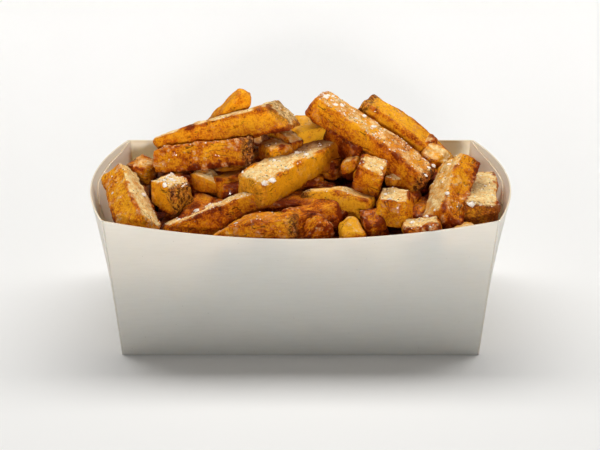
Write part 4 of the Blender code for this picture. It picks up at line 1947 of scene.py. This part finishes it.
@dataclass(frozen=True)
class BoardFinish:
    """Uncoated white paperboard: warm white, cream where cut, with faint fibres. Linear colours.

    Its inner faces are warmer and lighter, a painted bounce light from the fries.
    """

    outside: Colour = (0.87, 0.82, 0.74)
    # Inner faces: the board's colour with painted warm bounce light from the fries.
    inner: Colour = (0.99, 0.81, 0.63)
    cut: Colour = (0.74, 0.62, 0.45)
    fleck: Colour = (0.52, 0.47, 0.40)

    def build(self) -> bpy.types.Material:
        """Make the material.

        Returns:
            The material.
        """
        g = Graph("paperboard")
        place = g.places("Object", (1.0, 1.0, 1.0))
        fibre = g.noise(g.places("Object", (0.12, 0.4, 1.0)), 1.1, 3.0, 0.6)
        cloud = g.noise(place, 14.0, 2.0)
        # Painted warm bounce light on the inner faces.
        colour = g.mix(g.attribute("inside"), self.outside, self.inner)
        colour = g.mix((fibre - 0.5).eased(-0.2, 0.3) * 0.07, colour, self.fleck)
        colour = g.mix((cloud - 0.5).eased(0.0, 0.3) * 0.05, colour, self.fleck)
        colour = g.mix(g.spots(place, 3.6, 0.07, 0.3) * 0.5, colour, self.fleck)
        colour = g.mix(g.attribute("cut") * 0.85, colour, self.cut)
        relief = fibre * 0.7 + g.noise(place, 0.7) * 0.3
        return g.finish(Base_Color=colour, Roughness=0.72, Specular_IOR_Level=0.3,
                        Subsurface_Weight=0.75, Subsurface_Radius=(1.0, 0.85, 0.7),
                        Subsurface_Scale=0.0014, Normal=g.bump(relief, 0.05))


@dataclass(frozen=True)
class PlainFinish:
    """A plain surface with a little uneven tone."""

    name: str
    colour: Colour
    second: Colour
    roughness: float
    size: float
    specular: float = 0.5

    def build(self) -> bpy.types.Material:
        """Make the material.

        Returns:
            The material.
        """
        g = Graph(self.name)
        tone = g.noise(g.places("Object", (1.0, 1.0, 1.0)), self.size).eased(0.35, 0.65)
        return g.finish(Base_Color=g.mix(tone, self.colour, self.second),
                        Roughness=self.roughness, Specular_IOR_Level=self.specular)


@dataclass(frozen=True)
class Studio:
    """Pale floor, soft light from above and behind, and the photograph's camera."""

    floor_colour: Colour = (0.88, 0.88, 0.875)
    floor_reach: float = 3.0
    lamp_colour: Colour = (1.0, 0.985, 0.96)
    key_power: float = 280.0
    key_size: tuple[float, float] = (9.0, 1.9)
    key_place: Place = (0.3, 1.7, 4.0)
    strip_power: float = 0.82
    strip_size: tuple[float, float] = (1.8, 0.12)
    strip_place: Place = (0.0, -1.6, 0.42)
    strip_aim: float = 0.14
    strip_spread: float = 9.0
    sky: Colour = (0.98, 0.99, 1.0)
    sky_strength: float = 0.15

    def floor(self) -> bpy.types.Object:
        """A wide plain floor.

        Returns:
            The floor, outside the object.
        """
        reach = self.floor_reach
        mesh = bpy.data.meshes.new("floor")
        corners = [(-reach, -reach, 0), (reach, -reach, 0), (reach, reach, 0), (-reach, reach, 0)]
        mesh.from_pydata(corners, [], [(0, 1, 2, 3)])
        finish = PlainFinish("floor", self.floor_colour, self.floor_colour, roughness=0.6,
                             size=400.0, specular=0.2)
        mesh.materials.append(finish.build())
        piece = link("floor", mesh)
        return piece

    def panel(self, name: str, power: float, size: tuple[float, float], place: Place,
              aim: float) -> bpy.types.Light:
        """A rectangular soft light that faces a height above the origin.

        Args:
            name: its name.
            power: watts.
            size: width and height.
            place: its middle.
            aim: the height it faces.

        Returns:
            The lamp.
        """
        lamp = bpy.data.lights.new(name, "AREA")
        lamp.shape = "RECTANGLE"
        lamp.size, lamp.size_y = size
        lamp.energy = power
        lamp.color = self.lamp_colour
        holder = link(name, lamp)
        holder.location = place
        holder.rotation_euler = (-math.atan2(place[1], place[2] - aim), 0, 0)
        return lamp

    def light(self) -> None:
        """A soft light above and behind, a flagged strip in front, and an even pale sky."""
        self.panel("key", self.key_power, self.key_size, self.key_place, 0.0)
        strip = self.panel("strip", self.strip_power, self.strip_size, self.strip_place,
                           self.strip_aim)
        strip.spread = math.radians(self.strip_spread)
        world = bpy.data.worlds.new("sky")
        world.use_nodes = True
        background = world.node_tree.nodes["Background"]
        background.inputs["Color"].default_value = (*self.sky, 1.0)
        background.inputs["Strength"].default_value = self.sky_strength
        bpy.context.scene.world = world

    def camera(self) -> None:
        """The camera that took the photograph."""
        lens = bpy.data.cameras.new("camera")
        lens.lens, lens.sensor_width = LENS, SENSOR
        holder = link("camera", lens)
        holder.location = CAMERA_PLACE
        holder.rotation_euler = (math.radians(CAMERA_TILT), 0, 0)
        bpy.context.scene.camera = holder

    def build(self) -> None:
        """Set the floor, the light, the camera and plain colour reproduction."""
        self.floor()
        self.light()
        self.camera()
        bpy.context.scene.view_settings.view_transform = "Standard"


def main() -> None:
    """Build every piece in order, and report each."""
    logging.basicConfig(level=logging.INFO, format="%(name)s: %(message)s")
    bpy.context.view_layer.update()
    carton = Carton(BoardFinish().build()).build()
    LOG.info("carton: %d faces", len(carton.data.polygons))
    heap = Heap(PotatoFinish().build())
    for piece in heap.build():
        LOG.info("%s: %d faces", piece.name, len(piece.data.polygons))
    salt = PlainFinish("salt", (0.95, 0.90, 0.83), (0.86, 0.74, 0.62), roughness=0.3, size=0.5)
    pepper = PlainFinish("pepper", (0.035, 0.02, 0.012), (0.12, 0.07, 0.04), roughness=0.7,
                         size=0.4)
    for piece in Seasoning(salt.build(), pepper.build()).build(heap):
        LOG.info("%s: %d faces", piece.name, len(piece.data.polygons))
    Studio().build()


if __name__ == "__main__":
    main()
